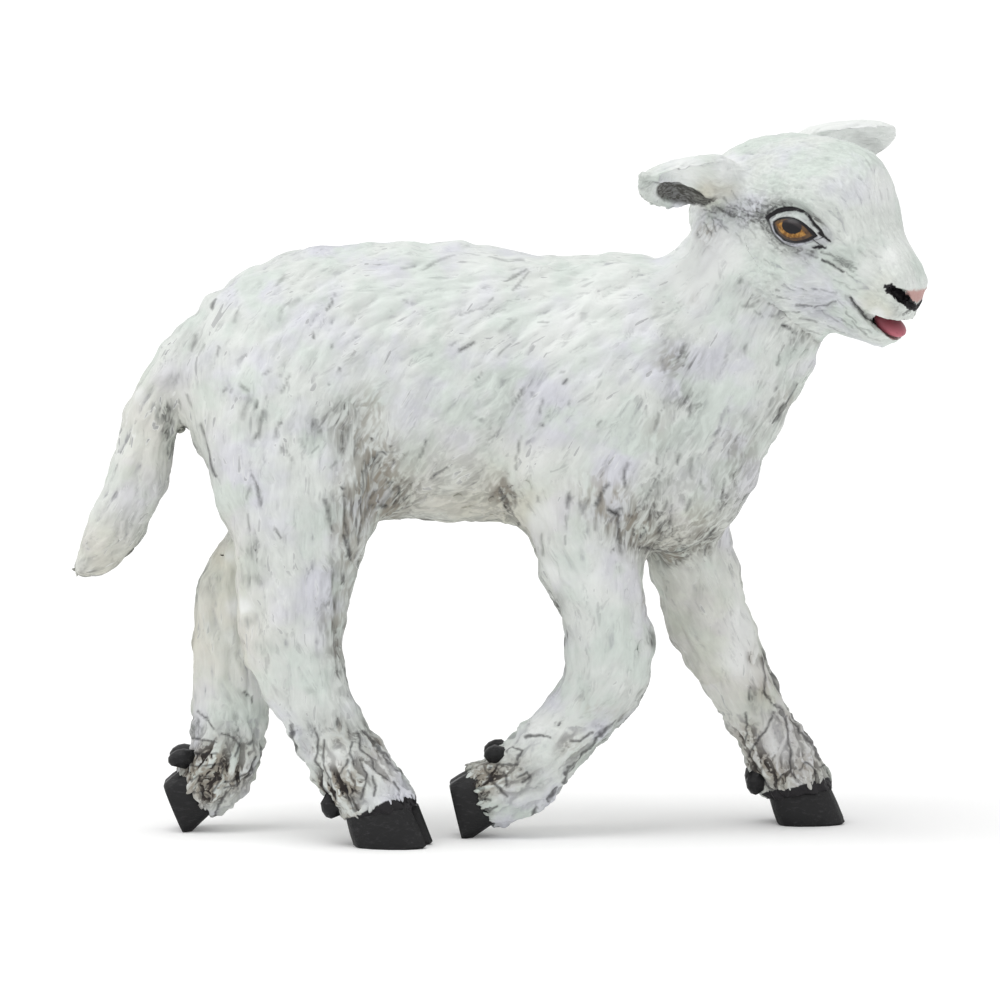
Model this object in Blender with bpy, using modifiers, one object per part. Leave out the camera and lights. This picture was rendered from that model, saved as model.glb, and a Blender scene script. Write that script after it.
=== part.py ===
"""A walking lamb: a moulded, hand-painted vinyl farm animal figure, about 70 mm long.

Metres, +Z up, +X towards the nose, +Y to the animal's left. The figure stands on z = 0 with its base centred
on the origin. The casting is an assembly: the torso takes the head, ears, tail and four legs on round pegs, and
the claws, dewclaws, eyes and tongue are solids of their own because they are other colours.
"""

import math

import bmesh
import bpy
from mathutils import Matrix, Vector

# Trunk, from the rump to the breast
TRUNK_LENGTH = 0.0480
TRUNK_DEPTH = 0.0230
TRUNK_WIDTH = 0.0150
BACK_HEIGHT = 0.0490

# Neck, from inside the shoulders to the skull, and the flat joint that the head sits on
NECK_REACH = 0.0094
NECK_RISE = 0.0116
NECK_DEPTH = 0.0134
NECK_WIDTH = 0.0094
NECK_SIDE = -0.0010
NECK_JOINT_TILT = math.radians(41)

# Head, in its own frame: its origin is the middle of the skull, +X its nose
HEAD_AHEAD = 0.0011
HEAD_ABOVE = 0.0021
HEAD_LENGTH = 0.0210
HEAD_DEPTH = 0.0165
HEAD_WIDTH = 0.0122
HEAD_TURN = math.radians(-32)

# Mouth, tongue and nostrils
MOUTH_LENGTH = 0.0050
MOUTH_GAPE = 0.0020
MOUTH_SLOPE = math.radians(32)
TONGUE_LENGTH = 0.0030
TONGUE_WIDTH = 0.0026
TONGUE_THICKNESS = 0.0012
NOSTRIL_LENGTH = 0.0034
NOSTRIL_DEPTH = 0.0010

# Eyes
EYE_LENGTH = 0.0044
EYE_HEIGHT = 0.0030
EYE_THICKNESS = 0.0030
EYE_SLANT = math.radians(16)

# Ears: a curled leaf, hollow in front
EAR_LENGTH = 0.0088
EAR_WIDTH = 0.0062
EAR_DEPTH = 0.0032
EAR_CURL = 0.0013
EAR_SWEEP = 0.0010
EAR_ROOT = 0.0016

# Tail
TAIL_REACH = 0.0110
TAIL_DROP = 0.0194
TAIL_DEPTH = 0.0050
TAIL_WIDTH = 0.0044

# Limbs: the root is inside the trunk, the ankle is the middle of the hoof's upper rim
LIMB_ROOT_HEIGHT = 0.0362
LEG_JOINT_HEIGHT = 0.0230
HIND_DEPTH = 0.0140
HIND_WIDTH = 0.0086
FORE_DEPTH = 0.0104
FORE_WIDTH = 0.0076

# Hooves: two claws and two dewclaws on each foot
HOOF_LENGTH = 0.0060
HOOF_HEIGHT = 0.0027
HOOF_FORWARD = 0.0009
CLAW_WIDTH = 0.0024
CLAW_GAP = 0.0004
TOE_TRIM = 0.0005
CORONET_TILT = math.radians(10)
DEWCLAW_LENGTH = 0.0026
DEWCLAW_WIDTH = 0.0018
DEWCLAW_SPREAD = 0.0028
DEWCLAW_SETBACK = 0.0040

# Pegs and fits
LEG_PEG_RADIUS = 0.0015
LEG_PEG_LENGTH = 0.0036
NECK_PEG_RADIUS = 0.0022
NECK_PEG_LENGTH = 0.0040
SMALL_PEG_RADIUS = 0.0006
SMALL_PEG_LENGTH = 0.0026
TAIL_PEG_LENGTH = 0.0046
TAIL_PEG_RISE = math.radians(19)
CLEARANCE = 0.0003
OVERRUN = 0.0010
HOOF_STUB_LENGTH = 0.0020
CUT_SPAN = 0.0900

# Along a limb, where its sections start to turn square to the foot
TURN_START_SHARE = 0.72

# Edges that turn by more than this are kept sharp
CASTING_EDGE_ANGLE = math.radians(60)
HOOF_EDGE_ANGLE = math.radians(40)

# How finely the blended forms are cast
TORSO_VOXEL = 0.0011
HEAD_VOXEL = 0.00075
LEG_VOXEL = 0.00075
TORSO_PASSES = 7
HEAD_PASSES = 5
LEG_PASSES = 3
TORSO_KEEP = 0.39
HEAD_KEEP = 0.40
LEG_KEEP = 0.38
RING_POINTS = 16
BALL_SEGMENTS = 12
PEG_SEGMENTS = 12

# Rows of the trunk: along, drop of the top, drop of the underside, width
TRUNK_SHARES = [
    (0.00, 0.44, 0.66, 0.34),
    (0.04, 0.22, 0.80, 0.60),
    (0.11, 0.10, 0.92, 0.84),
    (0.21, 0.03, 0.98, 0.96),
    (0.33, 0.00, 1.00, 0.94),
    (0.45, 0.01, 1.02, 0.98),
    (0.57, 0.04, 1.02, 1.03),
    (0.67, 0.05, 1.05, 1.01),
    (0.77, 0.04, 1.11, 0.95),
    (0.87, 0.12, 1.10, 0.83),
    (0.95, 0.32, 0.99, 0.62),
    (1.00, 0.50, 0.78, 0.36),
]

# Rows of the neck: reach, rise, depth, width
NECK_SHARES = [
    (0.00, 0.00, 1.49, 1.49),
    (0.36, 0.28, 1.34, 1.32),
    (0.60, 0.48, 1.16, 1.13),
    (0.78, 0.77, 1.04, 1.00),
    (0.96, 1.02, 1.00, 1.02),
]
NECK_ROOT_SHARES = (0.82, 0.55)
NECK_JOINT_SHARES = (0.81, 0.75)

# Rows of the head: along, top, underside, width
HEAD_SHARES = [
    (-0.41, 0.19, -0.12, 0.41),
    (-0.35, 0.29, -0.26, 0.66),
    (-0.27, 0.38, -0.38, 0.86),
    (-0.14, 0.45, -0.48, 0.98),
    (0.00, 0.47, -0.50, 1.01),
    (0.14, 0.46, -0.51, 0.97),
    (0.26, 0.43, -0.54, 0.84),
    (0.34, 0.39, -0.57, 0.76),
    (0.39, 0.30, -0.59, 0.68),
    (0.42, 0.10, -0.58, 0.58),
    (0.465, -0.01, -0.555, 0.53),
    (0.50, -0.07, -0.485, 0.49),
    (0.53, -0.12, -0.42, 0.44),
    (0.555, -0.18, -0.375, 0.37),
    (0.570, -0.24, -0.33, 0.23),
]
UNDERSIDE_NARROWING = 0.22

# Rounded masses on both sides of the head: place, then radii, each along / across / up
BROW_SHARES = ((0.18, 0.31, 0.16), (0.18, 0.17, 0.15))
CHEEK_SHARES = ((0.05, 0.27, -0.22), (0.20, 0.23, 0.22))
EAR_BASE_SHARES = ((-0.20, 0.38, 0.24), (0.10, 0.14, 0.11))
NOSE_WING_SHARES = ((0.505, 0.10, -0.25), (0.055, 0.11, 0.07))
EYE_SHARES = (0.15, 0.41, 0.02)
NOSTRIL_SHARES = (0.513, 0.15, -0.29)
MOUTH_CORNER_SHARES = (0.325, -0.35)
TONGUE_SHARE = 0.57

# Rows of the ear: along, width, depth, hollow, sweep
EAR_SHARES = [
    (-0.10, 0.60, 0.90, 0.00, 0.00),
    (0.10, 0.78, 0.92, 0.00, 0.00),
    (0.22, 0.95, 0.98, 0.08, 0.02),
    (0.34, 1.03, 1.00, 0.42, 0.06),
    (0.48, 1.00, 0.98, 0.66, 0.16),
    (0.63, 0.92, 0.90, 0.68, 0.32),
    (0.78, 0.76, 0.76, 0.58, 0.52),
    (0.91, 0.53, 0.55, 0.34, 0.76),
    (1.00, 0.23, 0.27, 0.00, 0.94),
]
# Ears in the head's frame: base, tip, and the way the hollow faces
EARS = {
    "right_ear": {
        "base_shares": (-0.17, -0.37, 0.23),
        "tip_shares": (-0.335, -0.98, 0.29),
        "hollow_shares": (0.54, -0.36, -0.76),
    },
    "left_ear": {
        "base_shares": (-0.13, 0.38, 0.32),
        "tip_shares": (0.215, 0.98, 0.52),
        "hollow_shares": (0.66, -0.12, -0.60),
    },
}

# Rows of the tail: reach, drop, depth, width
TAIL_SHARES = [
    (0.00, 0.00, 0.78, 0.80),
    (0.19, 0.12, 0.85, 0.90),
    (0.35, 0.26, 0.88, 0.96),
    (0.45, 0.44, 0.98, 1.00),
    (0.52, 0.60, 1.00, 1.00),
    (0.64, 0.77, 0.98, 0.96),
    (0.79, 0.91, 0.80, 0.82),
    (0.92, 0.98, 0.46, 0.50),
    (0.985, 1.00, 0.20, 0.22),
]
TAIL_ROOT_SHARES = (0.046, 0.337)
TAIL_PEG_SHARES = (0.25, 0.14)

# Rows of the limbs: down from root to ankle, along the swing, depth, width
RIGHT_HIND_SHARES = [
    (0.00, 0.00, 0.93, 0.88),
    (0.15, 0.03, 1.00, 0.98),
    (0.29, 0.13, 0.90, 0.98),
    (0.39, 0.09, 0.74, 0.93),
    (0.49, 0.05, 0.67, 0.84),
    (0.59, 0.05, 0.62, 0.76),
    (0.68, 0.17, 0.52, 0.66),
    (0.78, 0.38, 0.45, 0.60),
    (0.87, 0.61, 0.46, 0.61),
    (0.94, 0.81, 0.48, 0.64),
    (1.00, 1.00, 0.46, 0.64),
]
LEFT_HIND_SHARES = [
    (0.00, 0.00, 0.93, 0.88),
    (0.16, 0.00, 0.88, 0.98),
    (0.30, 0.11, 0.68, 0.95),
    (0.35, 0.20, 0.58, 0.90),
    (0.42, 0.41, 0.54, 0.80),
    (0.51, 0.62, 0.49, 0.72),
    (0.63, 0.67, 0.47, 0.67),
    (0.76, 0.67, 0.47, 0.63),
    (0.86, 0.69, 0.46, 0.63),
    (0.94, 0.77, 0.44, 0.65),
    (0.983, 0.88, 0.39, 0.63),
    (1.00, 1.00, 0.34, 0.58),
]
RIGHT_FORE_SHARES = [
    (0.00, 0.00, 0.96, 1.00),
    (0.13, 0.05, 0.97, 1.00),
    (0.28, 0.15, 0.94, 0.97),
    (0.37, 0.18, 0.89, 0.95),
    (0.45, 0.12, 0.78, 0.90),
    (0.53, 0.05, 0.70, 0.82),
    (0.62, -0.01, 0.71, 0.79),
    (0.70, 0.03, 0.71, 0.76),
    (0.79, 0.22, 0.58, 0.69),
    (0.87, 0.45, 0.57, 0.69),
    (0.94, 0.66, 0.62, 0.73),
    (0.985, 0.85, 0.57, 0.73),
    (1.00, 1.00, 0.53, 0.69),
]
LEFT_FORE_SHARES = [
    (0.00, 0.00, 0.86, 1.00),
    (0.16, 0.10, 0.82, 1.00),
    (0.31, 0.20, 0.76, 0.97),
    (0.44, 0.28, 0.72, 0.92),
    (0.55, 0.37, 0.71, 0.87),
    (0.66, 0.50, 0.62, 0.79),
    (0.77, 0.65, 0.53, 0.69),
    (0.85, 0.78, 0.53, 0.69),
    (0.92, 0.88, 0.59, 0.74),
    (1.00, 1.00, 0.58, 0.74),
]

# Each limb: where its root lies along the trunk, its swing, how far out its root and ankle are, and its foot
LIMBS = {
    "right_hind": {
        "shares": RIGHT_HIND_SHARES,
        "side": -1,
        "root_share": 0.183,
        "swing": 0.0078,
        "root_out": 0.0036,
        "ankle_out": 0.0058,
        "depth": HIND_DEPTH,
        "width": HIND_WIDTH,
        "pitch": 0.0,
        "toe_turn": math.radians(-14),
        "hoof_share": 1.0,
        "dewclaw_lift": 0.0008,
    },
    "left_hind": {
        "shares": LEFT_HIND_SHARES,
        "side": 1,
        "root_share": 0.208,
        "swing": -0.0090,
        "root_out": 0.0036,
        "ankle_out": 0.0020,
        "depth": HIND_DEPTH,
        "width": HIND_WIDTH,
        "pitch": math.radians(68),
        "toe_turn": 0.0,
        "hoof_share": 0.80,
        "dewclaw_lift": 0.0000,
    },
    "right_fore": {
        "shares": RIGHT_FORE_SHARES,
        "side": -1,
        "root_share": 0.730,
        "swing": -0.0105,
        "root_out": 0.0036,
        "ankle_out": 0.0012,
        "depth": FORE_DEPTH,
        "width": FORE_WIDTH,
        "pitch": math.radians(77),
        "toe_turn": 0.0,
        "hoof_share": 0.85,
        "dewclaw_lift": 0.0021,
    },
    "left_fore": {
        "shares": LEFT_FORE_SHARES,
        "side": 1,
        "root_share": 0.804,
        "swing": 0.0124,
        "root_out": 0.0036,
        "ankle_out": 0.0058,
        "depth": FORE_DEPTH,
        "width": FORE_WIDTH,
        "pitch": 0.0,
        "toe_turn": 0.0,
        "hoof_share": 0.94,
        "dewclaw_lift": 0.0012,
    },
}

# Outline of a claw's sole: along from heel to toe, out from the cleft
CLAW_OUTLINE_SHARES = [
    (-0.50, 0.30),
    (-0.46, 0.06),
    (-0.20, 0.00),
    (0.10, 0.00),
    (0.34, 0.05),
    (0.47, 0.20),
    (0.50, 0.38),
    (0.44, 0.60),
    (0.28, 0.84),
    (0.05, 0.98),
    (-0.20, 1.00),
    (-0.40, 0.88),
    (-0.49, 0.62),
]
# Rings of a claw from the sole up: height, size, how far forward of the rim
CLAW_RING_SHARES = [
    (0.00, 0.92, 0.95),
    (0.08, 1.00, 1.00),
    (0.55, 0.96, 0.50),
    (1.00, 0.91, 0.00),
]

# Colours of the paint, as linear RGB, with roughness
PAINTS = {
    "white_fleece": ((0.74, 0.78, 0.76), 0.72),
    "black_horn": ((0.012, 0.012, 0.015), 0.45),
    "amber_eye": ((0.38, 0.17, 0.03), 0.18),
    "pink_tongue": ((0.55, 0.12, 0.14), 0.40),
}


def clear_scene():
    for obj in list(bpy.data.objects):
        bpy.data.objects.remove(obj)


def new_collection(name):
    collection = bpy.data.collections.new(name)
    bpy.context.scene.collection.children.link(collection)
    return collection


clear_scene()
FIGURE = new_collection("walking_lamb")
HELPERS = new_collection("cutters_and_forms")


def paint(name):
    """The named paint as a Principled material, made once."""
    if name in bpy.data.materials:
        return bpy.data.materials[name]
    colour, roughness = PAINTS[name]
    material = bpy.data.materials.new(name)
    material.use_nodes = True
    shader = material.node_tree.nodes["Principled BSDF"]
    shader.inputs["Base Color"].default_value = (*colour, 1.0)
    shader.inputs["Roughness"].default_value = roughness
    return material


def place_mesh(name, mesh, matrix=None, helper=False):
    """An object of the figure, or a hidden helper, with its mesh moved by the matrix."""
    if matrix:
        mesh.transform(matrix)
    obj = bpy.data.objects.new(name, mesh)
    if helper:
        HELPERS.objects.link(obj)
        obj.hide_render = True
        obj.display_type = "WIRE"
    else:
        FIGURE.objects.link(obj)
    return obj


def finish(obj, paint_name, sharp_angle=CASTING_EDGE_ANGLE):
    """Gives a finished piece its paint, and soft shading except at its sharp edges."""
    obj.data.materials.clear()
    obj.data.materials.append(paint(paint_name))
    obj.data.shade_smooth()
    obj.data.set_sharp_from_angle(angle=sharp_angle)


def bake(obj):
    """Turns an object's modifiers into its mesh."""
    bpy.context.view_layer.update()
    graph = bpy.context.evaluated_depsgraph_get()
    mesh = bpy.data.meshes.new_from_object(obj.evaluated_get(graph))
    obj.modifiers.clear()
    obj.data = mesh


def boolean(target, tool, operation):
    modifier = target.modifiers.new(operation.lower(), "BOOLEAN")
    modifier.operation = operation
    modifier.solver = "EXACT"
    modifier.object = tool
    bake(target)


def cut(target, *cutters):
    for cutter in cutters:
        boolean(target, cutter, "DIFFERENCE")


def smooth_rows(rows, steps):
    """Rows of a Catmull-Rom curve through a table's rows, with so many steps between each two."""
    made = []
    for i in range(len(rows) - 1):
        before = rows[max(i - 1, 0)]
        after = rows[min(i + 2, len(rows) - 1)]
        for step in range(steps):
            t = step / steps
            made.append([catmull_rom(*four, t) for four in zip(before, rows[i], rows[i + 1], after)])
    made.append(list(rows[-1]))
    return made


def catmull_rom(p, q, r, s, t):
    return 0.5 * (2 * q + (r - p) * t + (2 * p - 5 * q + 4 * r - s) * t**2 + (3 * q - p - 3 * r + s) * t**3)


def loft_mesh(name, rings):
    """A closed mesh through rings that have the same number of points."""
    mesh = bpy.data.meshes.new(name)
    work = bmesh.new()
    loops = [[work.verts.new(point) for point in ring] for ring in rings]
    count = len(rings[0])
    for low, high in zip(loops, loops[1:]):
        for i in range(count):
            j = (i + 1) % count
            work.faces.new((low[i], low[j], high[j], high[i]))
    work.faces.new(list(reversed(loops[0])))
    work.faces.new(loops[-1])
    bmesh.ops.recalc_face_normals(work, faces=work.faces)
    work.to_mesh(mesh)
    work.free()
    return mesh


def oval(centre, deep, wide, half_depth, half_width, narrowing=0.0):
    """An oval of points round a centre, as large as given along its two directions, narrower below."""
    points = []
    for i in range(RING_POINTS):
        angle = 2 * math.pi * i / RING_POINTS
        height = math.cos(angle)
        across = math.sin(angle) * (1 - narrowing * max(0.0, -height))
        points.append(centre + deep * (half_depth * height) + wide * (half_width * across))
    return points


def tube_rings(stations, end_way=None):
    """Ovals square to a path, which may turn to an end direction. A station is a place and two half sizes."""
    places = [station[0] for station in stations]
    last = len(places) - 1
    rings = []
    for i, (place, half_depth, half_width) in enumerate(stations):
        along = (places[min(i + 1, last)] - places[max(i - 1, 0)]).normalized()
        if end_way:
            along = along.slerp(end_way, max(0.0, (i / last - TURN_START_SHARE) / (1 - TURN_START_SHARE)))
        left = Vector((0, 1, 0))
        wide = (left - along * left.dot(along)).normalized()
        rings.append(oval(place, wide.cross(along), wide, half_depth, half_width))
    return rings


def ball_mesh(name, radii, segments=BALL_SEGMENTS):
    mesh = bpy.data.meshes.new(name)
    work = bmesh.new()
    bmesh.ops.create_uvsphere(work, u_segments=segments, v_segments=segments // 2, radius=1.0)
    work.to_mesh(mesh)
    work.free()
    mesh.transform(Matrix.Diagonal((*radii, 1.0)))
    return mesh


def facing(point, normal):
    """A matrix that puts the origin at a point and turns +Z along a normal."""
    return Matrix.Translation(point) @ normal.to_track_quat("Z", "Y").to_matrix().to_4x4()


def peg(name, start, direction, radius, length):
    """A round peg or socket from start along direction, as a hidden helper."""
    mesh = bpy.data.meshes.new(name)
    work = bmesh.new()
    bmesh.ops.create_cone(
        work, cap_ends=True, segments=PEG_SEGMENTS, radius1=radius, radius2=radius, depth=length
    )
    work.to_mesh(mesh)
    work.free()
    middle = start + direction.normalized() * (length / 2)
    return place_mesh(name, mesh, facing(middle, direction), helper=True)


def plug(piece, carrier, start, direction, radius, length):
    """Adds a peg to a piece, and the socket that takes it to the carrier."""
    way = direction.normalized()
    boolean(piece, peg(piece.name + "_peg", start - way * OVERRUN, way, radius, length + OVERRUN), "UNION")
    socket_length = length + CLEARANCE + OVERRUN
    cut(carrier, peg(piece.name + "_socket", start - way * OVERRUN, way, radius + CLEARANCE, socket_length))


def half_space(name, point, normal):
    """A large block whose face passes through a point and that fills the side its normal points to."""
    mesh = bpy.data.meshes.new(name)
    work = bmesh.new()
    bmesh.ops.create_cube(work, size=CUT_SPAN)
    work.to_mesh(mesh)
    work.free()
    return place_mesh(name, mesh, facing(point + normal.normalized() * (CUT_SPAN / 2), normal), helper=True)


def blended(name, forms, voxel, passes, keep):
    """One smooth body from overlapping forms: remeshed together, relaxed, and thinned to fewer faces."""
    work = bmesh.new()
    for form in forms:
        work.from_mesh(form.data)
    mesh = bpy.data.meshes.new(name)
    work.to_mesh(mesh)
    work.free()
    obj = place_mesh(name, mesh)
    fuse = obj.modifiers.new("fuse", "REMESH")
    fuse.mode = "VOXEL"
    fuse.voxel_size = voxel
    relax = obj.modifiers.new("relax", "SMOOTH")
    relax.factor = 0.5
    relax.iterations = passes
    thin = obj.modifiers.new("thin", "DECIMATE")
    thin.ratio = keep
    bake(obj)
    return obj


def grown(carrier, margin=CLEARANCE):
    """A hidden copy of a piece, larger by a margin all over, to trim whatever sits on it."""
    obj = place_mesh(carrier.name + "_grown", carrier.data.copy(), helper=True)
    swell = obj.modifiers.new("swell", "DISPLACE")
    swell.direction = "NORMAL"
    swell.mid_level = 0.0
    swell.strength = margin
    bake(obj)
    return obj


def trunk_point(along_share, drop_share):
    """A place in the trunk's middle plane. The trunk's middle is over the origin."""
    return Vector((TRUNK_LENGTH * (along_share - 0.5), 0, BACK_HEIGHT - TRUNK_DEPTH * drop_share))


def trunk_form():
    rings = []
    for along, top, under, width in smooth_rows(TRUNK_SHARES, 3):
        centre = trunk_point(along, (top + under) / 2)
        half_depth = TRUNK_DEPTH * (under - top) / 2
        rings.append(oval(centre, Vector((0, 0, 1)), Vector((0, 1, 0)), half_depth, TRUNK_WIDTH * width / 2))
    return place_mesh("trunk_form", loft_mesh("trunk_form", rings), helper=True)


def neck_point(reach_share, rise_share):
    root = trunk_point(*NECK_ROOT_SHARES)
    return root + Vector((NECK_REACH * reach_share, NECK_SIDE * rise_share, NECK_RISE * rise_share))


def neck_form():
    stations = [
        (neck_point(reach, rise), NECK_DEPTH * depth / 2, NECK_WIDTH * width / 2)
        for reach, rise, depth, width in smooth_rows(NECK_SHARES, 3)
    ]
    return place_mesh("neck_form", loft_mesh("neck_form", tube_rings(stations)), helper=True)


def neck_up():
    """The way out of the neck, square to the flat joint under the head."""
    return Vector((math.sin(NECK_JOINT_TILT), 0, math.cos(NECK_JOINT_TILT)))


def ankle_height(limb):
    """Height of the hoof's upper rim, so that a flat sole, or the trimmed tip of a pointed toe, meets z = 0."""
    toe_drop = (HOOF_LENGTH / 2 + HOOF_FORWARD) * math.sin(limb["pitch"])
    sole_drop = HOOF_HEIGHT * math.cos(limb["pitch"])
    return (toe_drop + sole_drop) * limb["hoof_share"] - TOE_TRIM * math.sin(limb["pitch"])


def limb_point(limb, down, along):
    out = limb["root_out"] + (limb["ankle_out"] - limb["root_out"]) * down
    height = LIMB_ROOT_HEIGHT + (ankle_height(limb) - LIMB_ROOT_HEIGHT) * down
    x = TRUNK_LENGTH * (limb["root_share"] - 0.5) + limb["swing"] * along
    return Vector((x, limb["side"] * out, height))


def limb_stations(limb):
    return [
        (limb_point(limb, down, along), limb["depth"] * depth / 2, limb["width"] * width / 2)
        for down, along, depth, width in smooth_rows(limb["shares"], 3)
    ]


def foot_matrix(limb):
    """The foot's frame: its origin the ankle, +X the toe, +Z up the shin."""
    turn = Matrix.Rotation(limb["toe_turn"], 4, "Z") @ Matrix.Rotation(limb["pitch"], 4, "Y")
    return Matrix.Translation(limb_point(limb, 1.0, 1.0)) @ turn


def joint_centre(limb):
    """The middle of a limb's section at the flat joint between torso and leg."""
    places = [station[0] for station in limb_stations(limb)]
    above, below = next((a, b) for a, b in zip(places, places[1:]) if b.z <= LEG_JOINT_HEIGHT)
    return above.lerp(below, (above.z - LEG_JOINT_HEIGHT) / (above.z - below.z))


def limb_form(name, limb):
    """A whole limb from its root in the trunk to a stub in the hoof."""
    down = -(foot_matrix(limb).to_3x3().col[2])
    stations = limb_stations(limb)
    ankle, half_depth, half_width = stations[-1]
    stations.append((ankle + down * HOOF_STUB_LENGTH, half_depth, half_width))
    return place_mesh(name, loft_mesh(name, tube_rings(stations, down)), helper=True)


def coronet_up(limb):
    """The way up out of the slanting rim of the hoof."""
    return foot_matrix(limb).to_3x3() @ Vector((-math.sin(CORONET_TILT), 0, math.cos(CORONET_TILT)))


def build_torso():
    """Trunk, neck and the tops of the four limbs in one, flat where the head and the legs go on."""
    forms = [trunk_form(), neck_form()]
    for name, limb in LIMBS.items():
        forms.append(limb_form(name + "_form", limb))
    torso = blended("torso", forms, TORSO_VOXEL, TORSO_PASSES, TORSO_KEEP)
    cut(
        torso,
        half_space("leg_joint_cutter", Vector((0, 0, LEG_JOINT_HEIGHT)), Vector((0, 0, -1))),
        half_space("neck_joint_cutter", neck_point(*NECK_JOINT_SHARES), neck_up()),
    )
    return torso


def build_leg(name, limb, torso):
    """The part of a limb below the joint, cut along the rim of the hoof, on its peg in the torso."""
    leg = blended(name + "_leg", [limb_form(name + "_leg_form", limb)], LEG_VOXEL, LEG_PASSES, LEG_KEEP)
    top = Vector((0, 0, LEG_JOINT_HEIGHT - CLEARANCE))
    cut(
        leg,
        half_space(name + "_top_cutter", top, Vector((0, 0, 1))),
        half_space(name + "_rim_cutter", foot_matrix(limb).translation, -coronet_up(limb)),
    )
    start = joint_centre(limb)
    plug(leg, torso, start, Vector((0, 0, 1)), LEG_PEG_RADIUS, LEG_PEG_LENGTH)
    finish(leg, "white_fleece")
    return leg


def claw_rings(limb, out_sign):
    """Rings of one claw in the foot's frame, from its sole to just under the slanting rim."""
    size = limb["hoof_share"]
    rings = []
    for height, scale, forward in CLAW_RING_SHARES:
        ring = []
        for along, out in CLAW_OUTLINE_SHARES:
            x = size * (HOOF_LENGTH * scale * along + HOOF_FORWARD * forward)
            y = out_sign * (CLAW_GAP / 2 + CLAW_WIDTH * size * (0.5 + (out - 0.5) * scale))
            rim = x * math.tan(CORONET_TILT) - CLEARANCE / math.cos(CORONET_TILT)
            sole = -HOOF_HEIGHT * size
            ring.append(Vector((x, y, sole + (rim - sole) * height)))
        rings.append(ring)
    return rings


def build_foot(name, limb, leg):
    """Two claws under the rim and two dewclaws behind the pastern."""
    foot = foot_matrix(limb)
    floor = half_space(name + "_floor_cutter", Vector((0, 0, 0)), Vector((0, 0, -1)))
    mould = grown(leg)
    pieces = []
    for label, out_sign in (("outer", limb["side"]), ("inner", -limb["side"])):
        claw_name = f"{name}_{label}_claw"
        claw = place_mesh(claw_name, loft_mesh(claw_name, claw_rings(limb, out_sign)), foot)
        if limb["pitch"]:
            cut(claw, floor)
        finish(claw, "black_horn", HOOF_EDGE_ANGLE)
        dewclaw_name = f"{name}_{label}_dewclaw"
        half_width = DEWCLAW_WIDTH * limb["hoof_share"] / 2
        radii = (half_width, half_width, DEWCLAW_LENGTH * limb["hoof_share"] / 2)
        setback = DEWCLAW_SETBACK * limb["hoof_share"]
        offset = Vector((-setback, out_sign * DEWCLAW_SPREAD / 2, limb["dewclaw_lift"]))
        dewclaw = place_mesh(dewclaw_name, ball_mesh(dewclaw_name, radii), foot @ Matrix.Translation(offset))
        cut(dewclaw, mould)
        finish(dewclaw, "black_horn")
        pieces += [claw, dewclaw]
    return pieces


def head_matrix():
    place = neck_point(1.0, 1.0) + Vector((HEAD_AHEAD, 0, HEAD_ABOVE))
    return Matrix.Translation(place) @ Matrix.Rotation(HEAD_TURN, 4, "Z")


def head_place(shares, side=1):
    along, across, up = shares
    return Vector((HEAD_LENGTH * along, side * HEAD_WIDTH * across, HEAD_DEPTH * up))


def head_form():
    rings = []
    for along, top, under, width in smooth_rows(HEAD_SHARES, 2):
        centre = head_place((along, 0, (top + under) / 2))
        half_depth = HEAD_DEPTH * (top - under) / 2
        half_width = HEAD_WIDTH * width / 2
        rings.append(
            oval(centre, Vector((0, 0, 1)), Vector((0, 1, 0)), half_depth, half_width, UNDERSIDE_NARROWING)
        )
    return place_mesh("head_form", loft_mesh("head_form", rings), head_matrix(), helper=True)


def head_mass(name, place_shares, radius_shares, side):
    mesh = ball_mesh(name, head_place(radius_shares))
    matrix = head_matrix() @ Matrix.Translation(head_place(place_shares, side))
    return place_mesh(name, mesh, matrix, helper=True)


def mouth_matrix():
    """The mouth's frame: its origin between the corners of the mouth, +X out along the gape."""
    along, up = MOUTH_CORNER_SHARES
    return head_matrix() @ Matrix.Translation(head_place((along, 0, up))) @ Matrix.Rotation(MOUTH_SLOPE, 4, "Y")


def mouth_cutter():
    """A wedge that opens from the corners of the mouth out past the lips."""
    reach = MOUTH_LENGTH * 2
    half_gape = MOUTH_GAPE * reach / MOUTH_LENGTH / 2
    rings = [
        [Vector((0, y, 0)), Vector((reach, y, -half_gape)), Vector((reach, y, half_gape))]
        for y in (-HEAD_WIDTH, HEAD_WIDTH)
    ]
    return place_mesh("mouth_cutter", loft_mesh("mouth_cutter", rings), mouth_matrix(), helper=True)


def build_head(torso):
    """Skull, muzzle and the upper neck in one, with an open mouth, nostrils and eye sockets."""
    forms = [head_form(), neck_form()]
    for side in (-1, 1):
        for name, shares in (
            ("brow_form", BROW_SHARES),
            ("cheek_form", CHEEK_SHARES),
            ("ear_base_form", EAR_BASE_SHARES),
            ("nose_wing_form", NOSE_WING_SHARES),
        ):
            forms.append(head_mass(name, *shares, side))
    head = blended("head", forms, HEAD_VOXEL, HEAD_PASSES, HEAD_KEEP)
    seat = neck_point(*NECK_JOINT_SHARES)
    cut(head, half_space("head_joint_cutter", seat + neck_up() * CLEARANCE, -neck_up()), mouth_cutter())
    for side in (-1, 1):
        radii = (NOSTRIL_LENGTH / 2, NOSTRIL_DEPTH, NOSTRIL_DEPTH / 2)
        matrix = head_matrix() @ Matrix.Translation(head_place(NOSTRIL_SHARES, side))
        slant = Matrix.Rotation(MOUTH_SLOPE, 4, "Y")
        cut(head, place_mesh("nostril_cutter", ball_mesh("nostril_cutter", radii), matrix @ slant, helper=True))
    plug(head, torso, seat, -neck_up(), NECK_PEG_RADIUS, NECK_PEG_LENGTH)
    return head


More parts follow.
